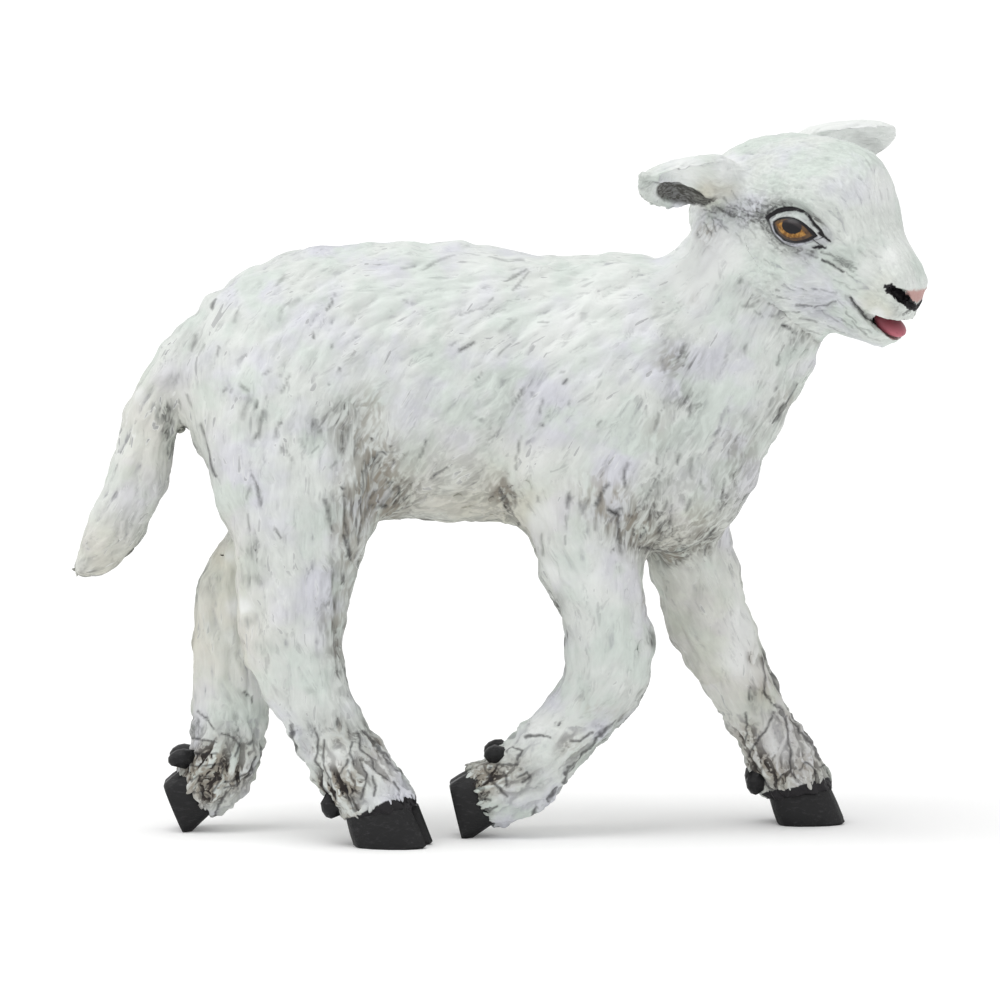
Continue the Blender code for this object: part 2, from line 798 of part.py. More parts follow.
def build_eye(name, side, head):
    """An eyeball in a socket that is larger by the clearance."""
    radii = (EYE_LENGTH / 2, EYE_THICKNESS / 2, EYE_HEIGHT / 2)
    slant = Matrix.Rotation(EYE_SLANT, 4, "Y")
    matrix = head_matrix() @ Matrix.Translation(head_place(EYE_SHARES, side)) @ slant
    eye = place_mesh(name, ball_mesh(name, radii), matrix)
    cut(head, grown(eye))
    finish(eye, "amber_eye")
    return eye


def build_tongue(head):
    """A flat tongue low in the mouth, seated in a hollow of its own."""
    radii = (TONGUE_LENGTH / 2, TONGUE_WIDTH / 2, TONGUE_THICKNESS / 2)
    matrix = mouth_matrix() @ Matrix.Translation(Vector((MOUTH_LENGTH * TONGUE_SHARE, 0, -TONGUE_THICKNESS / 4)))
    tongue = place_mesh("tongue", ball_mesh("tongue", radii), matrix)
    cut(head, grown(tongue))
    finish(tongue, "pink_tongue")
    return tongue


def ear_ring(along, width, depth, hollow, sweep):
    """A section of the ear: convex behind, pushed in from the front by its hollow, with its rims curled."""
    points = []
    for i in range(RING_POINTS):
        angle = 2 * math.pi * i / RING_POINTS
        across = math.sin(angle)
        height = math.cos(angle)
        if height < 0:
            height *= 1 - 2 * hollow
        back = EAR_DEPTH * depth * height / 2 - EAR_CURL * hollow * across**2 - EAR_SWEEP * sweep
        points.append(Vector((EAR_LENGTH * along, EAR_WIDTH * width * across / 2, back)))
    return points


def build_ear(name, ear, head):
    """A leaf from the side of the head, trimmed where it meets the head, on its own peg."""
    base = head_place(ear["base_shares"])
    way = (head_place(ear["tip_shares"]) - base).normalized()
    hollow = Vector(ear["hollow_shares"])
    back = -(hollow - way * hollow.dot(way)).normalized()
    turn = Matrix((way, back.cross(way), back)).transposed().to_4x4()
    rings = [ear_ring(*row) for row in smooth_rows(EAR_SHARES, 1)]
    matrix = head_matrix() @ Matrix.Translation(base) @ turn
    piece = place_mesh(name, loft_mesh(name, rings), matrix)
    cut(piece, grown(head))
    inward = -(matrix.to_3x3().col[0])
    plug(piece, head, matrix.translation - inward * EAR_ROOT, inward, SMALL_PEG_RADIUS, SMALL_PEG_LENGTH)
    finish(piece, "white_fleece")
    return piece


def build_tail(torso):
    """A hanging tail, trimmed where it lies against the rump, on its own peg."""
    root = trunk_point(*TAIL_ROOT_SHARES)
    stations = [
        (root - Vector((TAIL_REACH * reach, 0, TAIL_DROP * drop)), TAIL_DEPTH * depth / 2, TAIL_WIDTH * width / 2)
        for reach, drop, depth, width in smooth_rows(TAIL_SHARES, 2)
    ]
    tail = place_mesh("tail", loft_mesh("tail", tube_rings(stations)))
    cut(tail, grown(torso))
    reach, drop = TAIL_PEG_SHARES
    start = root - Vector((TAIL_REACH * reach, 0, TAIL_DROP * drop))
    inward = Vector((math.cos(TAIL_PEG_RISE), 0, math.sin(TAIL_PEG_RISE)))
    plug(tail, torso, start, inward, SMALL_PEG_RADIUS, TAIL_PEG_LENGTH)
    finish(tail, "white_fleece")
    return tail


def set_on_origin(torso):
    """Hangs the torso on a root that brings the middle of the whole figure's base to the origin."""
    corners = [point.co for obj in FIGURE.objects for point in obj.data.vertices]
    middle = [(max(c[i] for c in corners) + min(c[i] for c in corners)) / 2 for i in (0, 1)]
    root = bpy.data.objects.new("figure_root", None)
    FIGURE.objects.link(root)
    root.location = (-middle[0], -middle[1], 0)
    torso.parent = root


def main():
    torso = build_torso()
    head = build_head(torso)
    carried = [(head, torso), (build_tongue(head), head), (build_tail(torso), torso)]
    carried += [(build_eye(name, side, head), head) for name, side in (("right_eye", -1), ("left_eye", 1))]
    carried += [(build_ear(name, ear, head), head) for name, ear in EARS.items()]
    for name, limb in LIMBS.items():
        leg = build_leg(name, limb, torso)
        carried.append((leg, torso))
        carried += [(piece, leg) for piece in build_foot(name, limb, leg)]
    finish(torso, "white_fleece")
    finish(head, "white_fleece")
    for piece, carrier in carried:
        piece.parent = carrier
    set_on_origin(torso)


main()
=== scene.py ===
# Looks of a moulded, hand-painted vinyl lamb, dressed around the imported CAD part. Metres, +Z up, nose to +X.
import math

import bmesh
import bpy
import numpy as np
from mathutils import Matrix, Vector
from mathutils.bvhtree import BVHTree
from mathutils.kdtree import KDTree


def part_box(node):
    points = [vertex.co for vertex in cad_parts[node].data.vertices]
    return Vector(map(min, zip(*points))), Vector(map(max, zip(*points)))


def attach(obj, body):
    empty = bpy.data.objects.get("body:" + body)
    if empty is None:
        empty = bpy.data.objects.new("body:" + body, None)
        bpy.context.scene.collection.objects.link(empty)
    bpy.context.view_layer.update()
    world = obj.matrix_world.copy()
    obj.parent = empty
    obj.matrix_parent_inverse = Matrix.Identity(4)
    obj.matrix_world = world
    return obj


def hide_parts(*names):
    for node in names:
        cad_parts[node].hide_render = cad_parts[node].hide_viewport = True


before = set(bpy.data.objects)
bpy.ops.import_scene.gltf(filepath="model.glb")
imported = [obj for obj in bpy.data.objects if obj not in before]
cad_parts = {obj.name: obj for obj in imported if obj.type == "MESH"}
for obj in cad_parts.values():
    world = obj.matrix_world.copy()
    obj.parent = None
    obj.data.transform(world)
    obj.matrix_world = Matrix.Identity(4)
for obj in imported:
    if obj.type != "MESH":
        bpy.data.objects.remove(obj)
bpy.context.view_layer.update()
scene = bpy.context.scene
mm = 0.001
print("CAD frame loaded")

# camera
cameraLook = {
    "target": (0.00012, 0.0, 0.02761),      # what sits in the middle of the picture
    "elevation": math.radians(6.5),
    "distance": 0.60,
    "span": 0.0817,                         # width of the picture at the target
    "pixels": 1000,
    "sensor": 36.0,
}
viewRight = np.array([1.0, 0.0, 0.0])
viewBack = np.array([0.0, -math.cos(cameraLook["elevation"]), math.sin(cameraLook["elevation"])])
viewUp = np.cross(viewBack, viewRight)
eyePoint = np.array(cameraLook["target"]) + viewBack * cameraLook["distance"]


def makeCamera():
    data = bpy.data.cameras.new("camera")
    data.sensor_width = cameraLook["sensor"]
    data.lens = cameraLook["sensor"] * cameraLook["distance"] / cameraLook["span"]
    data.clip_start = 0.01
    data.clip_end = 10
    camera = bpy.data.objects.new("camera", data)
    camera.location = eyePoint
    camera.rotation_euler = (math.pi / 2 - cameraLook["elevation"], 0, 0)
    scene.collection.objects.link(camera)
    scene.camera = camera


def inPicture(points):
    # where points lie in the photograph, in pixels
    away = points - eyePoint
    depth = -(away @ viewBack)
    scale = cameraLook["distance"] / depth * cameraLook["pixels"] / cameraLook["span"]
    half = cameraLook["pixels"] / 2
    return half + (away @ viewRight) * scale, half - (away @ viewUp) * scale


makeCamera()
print("camera placed")


# small tools
def toLinear(hexColour):
    parts = [int(hexColour[i:i + 2], 16) / 255 for i in (1, 3, 5)]
    return [*(c / 12.92 if c <= 0.04045 else ((c + 0.055) / 1.055) ** 2.4 for c in parts), 1.0]


def addNode(tree, kind, settings=None, **links):
    # a node with its settings, and links or values for its inputs by name or i<number>
    node = tree.nodes.new(kind)
    for key, value in (settings or {}).items():
        setattr(node, key, value)
    for key, value in links.items():
        if key[0] == "i" and key[1:].isdigit():
            socket = node.inputs[int(key[1:])]
        else:
            socket = node.inputs[key.replace("_", " ")]
        if isinstance(value, Signal):
            value = value.socket
        if isinstance(value, bpy.types.NodeSocket):
            tree.links.new(value, socket)
        else:
            socket.default_value = value
    return node


def mathOf(tree, operation, *values):
    links = {f"i{k}": value for k, value in enumerate(values)}
    return Signal(tree, addNode(tree, "ShaderNodeMath", {"operation": operation}, **links).outputs[0])


class Signal:
    # a value inside a node tree; what is done with it adds nodes to that tree
    def __init__(self, tree, socket):
        self.tree, self.socket = tree, socket

    def by(self, operation, *others):
        return mathOf(self.tree, operation, self, *others)

    def __add__(self, other):
        return self.by("ADD", other)

    def __sub__(self, other):
        return self.by("SUBTRACT", other)

    def __mul__(self, other):
        return self.by("MULTIPLY", other)

    def __truediv__(self, other):
        return self.by("DIVIDE", other)

    def scaled(self, factor, offset):
        return self.by("MULTIPLY_ADD", factor, offset)

    def split(self):
        outputs = addNode(self.tree, "ShaderNodeSeparateXYZ", Vector=self).outputs
        return [Signal(self.tree, output) for output in outputs]

    def span(self, low, high, toLow=0.0, toHigh=1.0):
        # goes smoothly from toLow to toHigh while this value goes from low to high
        node = addNode(self.tree, "ShaderNodeMapRange", {"interpolation_type": "SMOOTHSTEP"}, Value=self,
                       From_Min=low, From_Max=high, To_Min=toLow, To_Max=toHigh)
        return Signal(self.tree, node.outputs["Result"])

    def mixed(self, share, second, blend="MIX"):
        # this colour with a share of the second
        settings = {"data_type": "RGBA", "blend_type": blend}
        node = addNode(self.tree, "ShaderNodeMix", settings, i0=share, i6=self, i7=second)
        return Signal(self.tree, node.outputs[2])

    def between(self, first, second):
        # two colours mixed, with this value as the share of the second
        node = addNode(self.tree, "ShaderNodeMix", {"data_type": "RGBA"}, i0=self, i6=first, i7=second)
        return Signal(self.tree, node.outputs[2])


def smoothStep(low, high, x):
    t = np.clip((x - low) / (high - low), 0, 1)
    return t * t * (3 - 2 * t)


def unit(vectors):
    return vectors / np.maximum(np.linalg.norm(vectors, axis=-1, keepdims=True), 1e-12)


def edgeList(mesh):
    pairs = np.empty(len(mesh.edges) * 2, np.int32)
    mesh.edges.foreach_get("vertices", pairs)
    return pairs.reshape(-1, 2)


def pointsOf(mesh):
    values = np.empty(len(mesh.vertices) * 3, np.float32)
    mesh.vertices.foreach_get("co", values)
    return values.reshape(-1, 3).astype(float)


def normalsOf(mesh):
    values = np.empty(len(mesh.vertices) * 3, np.float32)
    mesh.vertex_normals.foreach_get("vector", values)
    return values.reshape(-1, 3).astype(float)


def movePoints(mesh, points):
    mesh.vertices.foreach_set("co", points.astype(np.float32).ravel())


def readVectors(mesh, name):
    values = np.empty(len(mesh.vertices) * 3, np.float32)
    mesh.attributes[name].data.foreach_get("vector", values)
    return values.reshape(-1, 3)


def writeVectors(mesh, name, values):
    layer = mesh.attributes.get(name) or mesh.attributes.new(name, "FLOAT_VECTOR", "POINT")
    layer.data.foreach_set("vector", values.astype(np.float32).ravel())


def opened(*meshes):
    # one or more meshes as one that can be edited
    work = bmesh.new()
    for mesh in meshes:
        work.from_mesh(mesh)
    work.verts.ensure_lookup_table()
    return work


def closed(work, mesh):
    # what was edited, written into a mesh
    work.to_mesh(mesh)
    work.free()
    return mesh


def spread(values, edges, steps, share=0.5):
    # each vertex moves by a share towards the mean of its neighbours, so many times
    count = len(values)
    a, b = edges[:, 0], edges[:, 1]
    degree = np.maximum(np.bincount(a, minlength=count) + np.bincount(b, minlength=count), 1)
    flat = values.reshape(count, -1).copy()
    share = np.broadcast_to(np.asarray(share, float), (count,))
    for _ in range(steps):
        for k in range(flat.shape[1]):
            column = flat[:, k]
            total = np.bincount(a, column[b], count) + np.bincount(b, column[a], count)
            flat[:, k] = column + (total / degree - column) * share
    return flat.reshape(values.shape)


def islands(count, edges):
    # one number for each connected set of vertices
    label = np.arange(count)
    while True:
        low = np.minimum(label[edges[:, 0]], label[edges[:, 1]])
        new = label.copy()
        np.minimum.at(new, edges[:, 0], low)
        np.minimum.at(new, edges[:, 1], low)
        new = new[new]
        if np.array_equal(new, label):
            return label
        label = new


def linked(name, mesh):
    obj = bpy.data.objects.new(name, mesh)
    scene.collection.objects.link(obj)
    return obj


def baked(obj):
    # turns an object's modifiers into its mesh
    bpy.context.view_layer.update()
    graph = bpy.context.evaluated_depsgraph_get()
    shaped = obj.evaluated_get(graph)
    mesh = bpy.data.meshes.new_from_object(shaped, preserve_all_data_layers=True, depsgraph=graph)
    obj.modifiers.clear()
    obj.data = mesh
    return obj


weldReach = 1e-6


def welded(node, swell=0.0):
    # a merged copy of a CAD node's loose triangles, pushed out a little where asked
    work = opened(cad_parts[node].data)
    bmesh.ops.remove_doubles(work, verts=work.verts, dist=weldReach)
    work.normal_update()
    for vert in work.verts:
        vert.co += vert.normal * swell
    return closed(work, bpy.data.meshes.new(node + "Copy"))


def boxMiddle(node):
    low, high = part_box(node)
    return np.array((low + high) / 2)


def treeOf(node):
    work = opened(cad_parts[node].data)
    tree = BVHTree.FromBMesh(work)
    work.free()
    return tree


hoofNodes = [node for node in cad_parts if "claw" in node]


# casting: one skin over all the white pieces
castingLook = {
    "pieces": ["torso", "head", "right_ear", "left_ear", "tail",
               "right_hind_leg", "left_hind_leg", "right_fore_leg", "left_fore_leg"],
    "filled": ["right_eye", "left_eye"],    # the sockets are closed before the lids are shaped
    "bridge": 0.19 * mm,                    # closes the fitting gaps, and is taken off again
    "voxel": 0.215 * mm,
    "reach": 1.6 * mm,                      # how far round a CAD piece its distance is measured
    "borderSteps": 8,                       # how long the borders between the pieces are evened out
    "softSteps": 26,                        # how long the facets of the CAD are rubbed down
    "softShare": 0.5,
    "crispSteps": 7,                        # the same on ears and feet
    "crispShare": 0.35,
    "blendSteps": 12,                       # from soft to crisp
    "fineHeight": 9.5 * mm,                 # below this the feet get a finer mesh
}
labelOf = {node: k for k, node in enumerate(castingLook["pieces"])}
headLabels = [labelOf[node] for node in ("head", "right_ear", "left_ear")]


def castSkin():
    copies = [welded(node, castingLook["bridge"]) for node in castingLook["pieces"] + castingLook["filled"]]
    skin = linked("skin", closed(opened(*copies), bpy.data.meshes.new("skin")))
    fuse = skin.modifiers.new("fuse", "REMESH")
    fuse.mode = "VOXEL"
    fuse.voxel_size = castingLook["voxel"]
    baked(skin)
    mesh = skin.data
    label = islands(len(mesh.vertices), edgeList(mesh))
    keep = label == np.bincount(label).argmax()     # what is left of pegs and sockets inside is dropped
    work = opened(mesh)
    bmesh.ops.delete(work, geom=[vert for vert, kept in zip(work.verts, keep) if not kept], context="VERTS")
    closed(work, mesh)
    movePoints(mesh, pointsOf(mesh) - normalsOf(mesh) * castingLook["bridge"])
    return skin


def nearestPieces(points):
    # for each point, how far it is from each white CAD piece, up to a limit
    limit = castingLook["reach"]
    gaps = np.full((len(points), len(castingLook["pieces"])), limit)
    for k, node in enumerate(castingLook["pieces"]):
        low, high = (np.array(c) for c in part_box(node))
        near = np.flatnonzero(((points > low - limit) & (points < high + limit)).all(axis=1))
        tree = treeOf(node)
        for i in near:
            spot, _, _, gap = tree.find_nearest(points[i], limit)
            if spot is not None:
                gaps[i, k] = gap
    return gaps


def fineArea(points, label):
    # head, ears and feet, where the brush is finer
    return np.isin(label, headLabels) | (points[:, 2] < castingLook["fineHeight"])


def soften(mesh, gaps):
    # rubs the facets of the CAD down, least on head, ears and feet
    edges, points = edgeList(mesh), pointsOf(mesh)
    share = np.where(fineArea(points, gaps.argmin(axis=1)), 0.0, castingLook["softShare"])
    share = spread(share, edges, castingLook["blendSteps"])
    points = spread(points, edges, castingLook["softSteps"], share)
    movePoints(mesh, spread(points, edges, castingLook["crispSteps"], castingLook["crispShare"]))


skin = castSkin()
skinGaps = spread(nearestPieces(pointsOf(skin.data)), edgeList(skin.data), castingLook["borderSteps"])
soften(skin.data, skinGaps)
print("skin cast with", len(skin.data.vertices), "points")

# head: its own frame, taken from the CAD eyes
headLook = {
    "eyeAhead": 3.15 * mm,                  # the eyes from the head's middle, along the nose and up
    "eyeAbove": 0.33 * mm,
    "eyeSlant": math.radians(16),
}
eyeMiddles = {"right_eye": boxMiddle("right_eye"), "left_eye": boxMiddle("left_eye")}
headLeft = unit(eyeMiddles["left_eye"] - eyeMiddles["right_eye"])
headUp = np.array([0.0, 0.0, 1.0])
headNose = np.cross(headLeft, headUp)
headMiddle = ((eyeMiddles["left_eye"] + eyeMiddles["right_eye"]) / 2
              - headNose * headLook["eyeAhead"] - headUp * headLook["eyeAbove"])
headAxes = np.stack([headNose, headLeft, headUp])


def toHead(points):
    return (points - headMiddle) @ headAxes.T


def fromHead(points):
    return points @ headAxes + headMiddle


def nearSide(points):
    # the head's far side mirrored to the side that the photograph shows
    local = toHead(points)
    local[:, 1] = -np.abs(local[:, 1])
    return fromHead(local)


# finer mesh where the brush is finer
refineLook = {
    "roundSteps": 2,                        # the new points are evened out
    "roundShare": 0.5,
    # places in the picture that are split once more, and how far round them: eye, nostril and mouth
    "faceSpots": [(797, 230, 33), (896, 308, 27)],
}


def refine(chosen):
    # splits the faces whose points are all chosen; attributes are carried over
    work = opened(skin.data)
    edges = [edge for edge in work.edges if chosen[edge.verts[0].index] and chosen[edge.verts[1].index]]
    bmesh.ops.subdivide_edges(work, edges=edges, cuts=1, use_grid_fill=True)
    closed(work, skin.data)


def writeGaps():
    for k in range(len(castingLook["pieces"])):
        layer = skin.data.attributes.new(f"gap{k}", "FLOAT", "POINT")
        layer.data.foreach_set("value", skinGaps[:, k].astype(np.float32))


def readGaps():
    values = []
    for k in range(len(castingLook["pieces"])):
        column = np.empty(len(skin.data.vertices), np.float32)
        skin.data.attributes[f"gap{k}"].data.foreach_get("value", column)
        values.append(column)
    return np.stack(values, axis=1)


def refineSkin():
    mesh = skin.data
    refine(fineArea(pointsOf(mesh), readGaps().argmin(axis=1)))
    points, label = pointsOf(mesh), readGaps().argmin(axis=1)
    share = np.where(fineArea(points, label), refineLook["roundShare"], 0.0)
    movePoints(mesh, spread(points, edgeList(mesh), refineLook["roundSteps"], share))
    x, y = inPicture(nearSide(pointsOf(mesh)))
    onFace = np.zeros(len(x), bool)
    for middleX, middleY, reach in refineLook["faceSpots"]:
        onFace |= (label == labelOf["head"]) & (np.hypot(x - middleX, y - middleY) < reach)
    refine(onFace)


writeGaps()
refineSkin()
points = pointsOf(skin.data)
print("skin refined to", len(points), "points")

# how the hair lies
# picture place of a lock, and the way it points in degrees from +X
coatLie = {
    "body": [
        (350, 270, -150), (400, 270, -158), (440, 262, -162), (500, 272, -160), (560, 275, -158),
        (620, 275, -155), (300, 280, -135), (260, 300, -120), (225, 330, -108), (195, 360, -100),
        (200, 420, -75), (215, 470, -72), (250, 400, -92), (250, 460, -88), (245, 540, -76),
        (290, 420, -98), (300, 500, -86), (320, 560, -80), (300, 330, -115), (340, 360, -132),
        (330, 440, -100), (365, 460, -98), (370, 510, -100), (400, 330, -138), (440, 350, -140),
        (480, 340, -145), (480, 400, -135), (430, 430, -125), (420, 470, -115), (460, 490, -150),
        (490, 500, -120), (530, 330, -146), (590, 330, -145), (600, 390, -138), (540, 400, -130),
        (540, 450, -120), (600, 450, -118), (520, 500, -70), (560, 520, -85), (600, 510, -92),
        (640, 500, -95), (650, 350, -135), (660, 420, -108), (700, 450, -115), (690, 490, -100),
        (740, 430, -118), (720, 500, -95), (680, 530, -100), (790, 380, -115), (760, 400, -115),
        (700, 300, -130), (740, 330, -120), (770, 350, -120), (720, 260, -105), (240, 600, -72),
        (300, 600, -84), (280, 660, -74), (320, 640, -92), (300, 700, -72), (340, 700, -76),
        (330, 760, -70), (370, 750, -58), (400, 790, -52), (350, 800, -70), (200, 580, -100),
        (210, 650, -85), (240, 700, -75), (200, 740, -110), (230, 750, -100), (190, 780, -120),
        (560, 560, -62), (600, 560, -85), (640, 560, -88), (580, 620, -85), (630, 640, -95),
        (610, 690, -120), (570, 720, -138), (530, 750, -145), (500, 770, -150), (520, 800, -150),
        (480, 790, -155), (680, 570, -60), (720, 580, -62), (700, 630, -63), (740, 660, -65),
        (740, 720, -70), (780, 700, -58), (770, 750, -75), (800, 760, -60), (815, 780, -60),
    ],
    "tail": [
        (180, 350, -115), (165, 370, -110), (150, 430, -105), (140, 480, -105), (125, 520, -118),
        (100, 550, -140), (80, 562, -150),
    ],
    "head": [
        (780, 140, 180), (740, 165, -165), (820, 150, 170), (850, 160, 150), (870, 190, 115),
        (890, 200, 110), (800, 180, 165), (830, 205, 145), (850, 220, 130), (880, 240, 118),
        (900, 265, 122), (910, 285, 125), (750, 205, 150), (735, 225, 165), (780, 270, 155),
        (820, 290, 160), (850, 280, 150), (830, 310, 168), (860, 320, 152), (800, 320, 165),
        (770, 330, 150), (880, 335, 165), (760, 290, -170), (730, 280, -140), (720, 240, -110),
        (740, 310, -140), (870, 260, 140), (770, 185, 160),
    ],
}
# the ears in the head's frame, root to tip
earWays = {"right_ear": (-3.47, -7.44, 0.99), "left_ear": (7.2, 7.3, 3.3)}
lieLook = {"reach": 14, "batch": 40000}         # pixels in which a lock's way holds, points at a time


def lieFrom(table, x, y):
    # the way of the hair at places in the picture, from the ways of the locks near them
    table = np.array(table, float)
    angle = np.radians(table[:, 2])
    ways = np.stack([np.cos(angle), np.sin(angle)], axis=1)
    result = np.empty((len(x), 2))
    for start in range(0, len(x), lieLook["batch"]):
        part = slice(start, start + lieLook["batch"])
        away = (x[part, None] - table[:, 0]) ** 2 + (y[part, None] - table[:, 1]) ** 2
        result[part] = (1 / (away + lieLook["reach"] ** 2) ** 2) @ ways
    return unit(result)


def hairLie(points, normals, label):
    x, y = inPicture(points)
    ways = np.zeros_like(points)
    onTail, onHead = label == labelOf["tail"], label == labelOf["head"]
    for chosen, table in ((~np.isin(label, headLabels) & ~onTail, "body"), (onTail, "tail")):
        flat = lieFrom(coatLie[table], x[chosen], y[chosen])
        ways[chosen] = np.stack([flat[:, 0], np.zeros(len(flat)), flat[:, 1]], axis=1)
    sideX, sideY = inPicture(nearSide(points[onHead]))
    flat = lieFrom(coatLie["head"], sideX, sideY)
    ways[onHead] = (flat[:, :1] / headNose[0]) * headNose + flat[:, 1:] * headUp
    for node, way in earWays.items():
        ways[label == labelOf[node]] = unit(np.array(way)) @ headAxes
    ways = ways - normals * (ways * normals).sum(axis=1, keepdims=True)
    return unit(ways + 1e-6)


# sculpted locks, carved into the skin
lockLook = {
    # every how many mm a lock starts, half length, half width, height, how uneven, how wavy in degrees;
    # the feet have ropes instead: noise drawn out along the hair in strides of so many mm
    "body": {"pitch": 0.85, "length": 1.50, "width": 0.38, "height": 0.190, "vary": 0.45, "wave": 9},
    "broad": {"pitch": 2.1, "length": 2.70, "width": 0.95, "height": 0.270, "vary": 0.40},
    "head": {"pitch": 0.60, "length": 1.10, "width": 0.30, "height": 0.160, "vary": 0.45, "wave": 13},
    "feet": {"rounds": 3, "strides": (0.13, 0.22, 0.36), "steps": 8, "broad": 22,
             "height": 0.260, "wave": 30},
    "cuts": {"pitch": 2.4, "length": 1.10, "width": 0.22, "height": 0.060, "vary": 0.50},
    "lumps": 0.10 * mm,
    "belly": 0.35 * 0.3,                    # where a lock is widest, as a share of its half length
    "seed": 7,
}
cellKey = 7919


def seedsOn(places, pitch):
    # one point in each cube of space that the skin passes through
    order = random.permutation(len(places))
    cells = np.floor(places[order] / (pitch * mm)).astype(np.int64)
    key = (cells[:, 0] * cellKey + cells[:, 1]) * cellKey + cells[:, 2]
    return order[np.unique(key, return_index=True)[1]]


def treeOn(chosen):
    # finds chosen points of the skin by place, and answers with their order in the choice
    tree = KDTree(len(chosen))
    for order, i in enumerate(chosen):
        tree.insert(points[i], order)
    tree.balance()
    return tree


def carve(look, allowed):
    # the tallest lock at each point, as a share of the full height
    chosen = np.flatnonzero(allowed)
    tree = treeOn(chosen)
    grown = np.zeros(len(points))
    across = np.cross(normals, ways)
    for i in chosen[seedsOn(points[chosen], look["pitch"])]:
        size = np.exp(random.normal(0, look["vary"], 3) * 0.6)
        length, width = look["length"] * mm * size[0], look["width"] * mm * size[1]
        bend = random.normal(0, 0.10) / (look["length"] * mm)
        near = chosen[[item[1] for item in tree.find_range(points[i], length * 1.05)]]
        near = near[normals[near] @ normals[i] > 0.2]
        away = points[near] - points[i]
        u = away @ ways[i] / length
        v = (away @ across[i] - bend * (u * length) ** 2) / width
        taper = np.clip(1 - np.abs(u - lockLook["belly"]) ** 2.2, 0, 1)
        body = np.clip(1 - (v / np.maximum(taper, 0.05)) ** 2, 0, 1) * taper ** 0.6
        grown[near] = np.maximum(grown[near], body * min(size[2], 1.25))
    return grown


def ropes(look, allowed):
    # noise drawn out along the hair; from nought in the valleys to one on the ridges
    chosen = np.flatnonzero(allowed)
    tree = treeOn(chosen)
    ahead = [np.array([tree.find(points[i] + ways[i] * stride * side * mm)[1] for i in chosen])
             for stride in look["strides"] for side in (1, -1)]
    value = spread(random.normal(0, 1, len(points)), skinEdges, look["rounds"])[chosen]
    for _ in range(look["steps"]):
        for onward, back in zip(ahead[::2], ahead[1::2]):
            value = value * 0.34 + (value[onward] + value[back]) * 0.33
    result = np.zeros(len(points))
    result[chosen] = value
    value = (result - spread(result, skinEdges, look["broad"]))[chosen]
    result[chosen[value.argsort()]] = np.linspace(0, 1, len(chosen))
    return spread(result, skinEdges, 2, 0.5)


random = np.random.default_rng(lockLook["seed"])
skin.data.update()
normals = normalsOf(skin.data)
label = readGaps().argmin(axis=1)
ways = hairLie(points, normals, label)
isHead = np.isin(label, headLabels)
isFoot = (points[:, 2] < castingLook["fineHeight"]) & ~isHead
isBody = ~isHead & ~isFoot
skinEdges = edgeList(skin.data)
wave = spread(random.normal(0, 1, len(points)), skinEdges, 14)
swing = [lockLook[area]["wave"] for area in ("body", "head", "feet")]
wave *= np.select([isBody, isHead], swing[:2], swing[2])
wave *= math.radians(1) / (wave.std() / np.mean(swing))
ways = unit(ways * np.cos(wave)[:, None] + np.cross(normals, ways) * np.sin(wave)[:, None])
print("hair lie found")
lockHeight, lockShare = np.zeros(len(points)), np.zeros(len(points))
for area, name, shape in ((isBody, "body", carve), (isHead, "head", carve), (isFoot, "feet", ropes)):
    share = shape(lockLook[name], area)
    lockShare[area] = share[area]
    lockHeight[area] = share[area] * lockLook[name]["height"] * mm
broadShare = carve(lockLook["broad"], isBody | isFoot)
lockHeight += broadShare * lockLook["broad"]["height"] * mm * np.where(isBody, 1.0, 0.5)
lockShare = np.where(isBody, lockShare * 0.5 + broadShare * 0.5, lockShare)
lockHeight = spread(lockHeight, skinEdges, 2, np.select([isHead, isFoot], [0.15, 0.2], 0.25))
cutShare = carve(lockLook["cuts"], isBody)
print("locks carved")

# eyes: almond opening, lids and crease
eyeLook = {
    "onward": 0.24 * mm,                    # the opening, from the middle of the CAD's eye
    "upward": 0.06 * mm,
    "half": 1.80 * mm,                      # corner to middle
    "top": 0.86 * mm,                       # height of the upper and the lower arc
    "bottom": 0.98 * mm,
    "sink": 0.42 * mm,                      # the skin under the eye lies this much deeper
    "lid": 0.20 * mm,                       # the lids' height, and how far out they are
    "lidAt": 0.27 * mm,
    "lidSpread": 0.18 * mm,
    "crease": 0.13 * mm,                    # the groove round the lids, above and below
    "creaseAbove": 0.72 * mm,
    "creaseBelow": 0.58 * mm,
    "creaseIn": 0.26 * mm,                  # nearer at the front corner
    "creaseSpread": 0.16 * mm,
    "brow": 0.22 * mm,
    "browAt": 1.55 * mm,
    "browSpread": 0.5 * mm,
    "around": 4.6 * mm,                     # how far round an eye the skin is shaped, and how far behind it
    "behind": 0.5 * mm,
    "bulge": 0.16 * mm,
    "body": 0.60 * mm,                      # how deep the eye's own body goes
    "cover": 1.06,                          # the lens goes this much further than the opening
    "rings": 14,
    "spokes": 72,
}
slantCos, slantSin = math.cos(headLook["eyeSlant"]), math.sin(headLook["eyeSlant"])


def toEye(points, node):
    # along the eye, outwards, and up, in the eye's slanted frame
    local = (points - eyeMiddles[node]) @ headAxes.T
    out = -local[:, 1] if node == "right_eye" else local[:, 1]
    along = local[:, 0] * slantCos - local[:, 2] * slantSin
    up = local[:, 0] * slantSin + local[:, 2] * slantCos
    return np.stack([along - eyeLook["onward"], out, up - eyeLook["upward"]], axis=1)


def fromEye(places, node):
    along, out, up = places.T
    along, up = along + eyeLook["onward"], up + eyeLook["upward"]
    nose = along * slantCos + up * slantSin
    rise = -along * slantSin + up * slantCos
    side = -out if node == "right_eye" else out
    return eyeMiddles[node] + np.stack([nose, side, rise], axis=1) @ headAxes


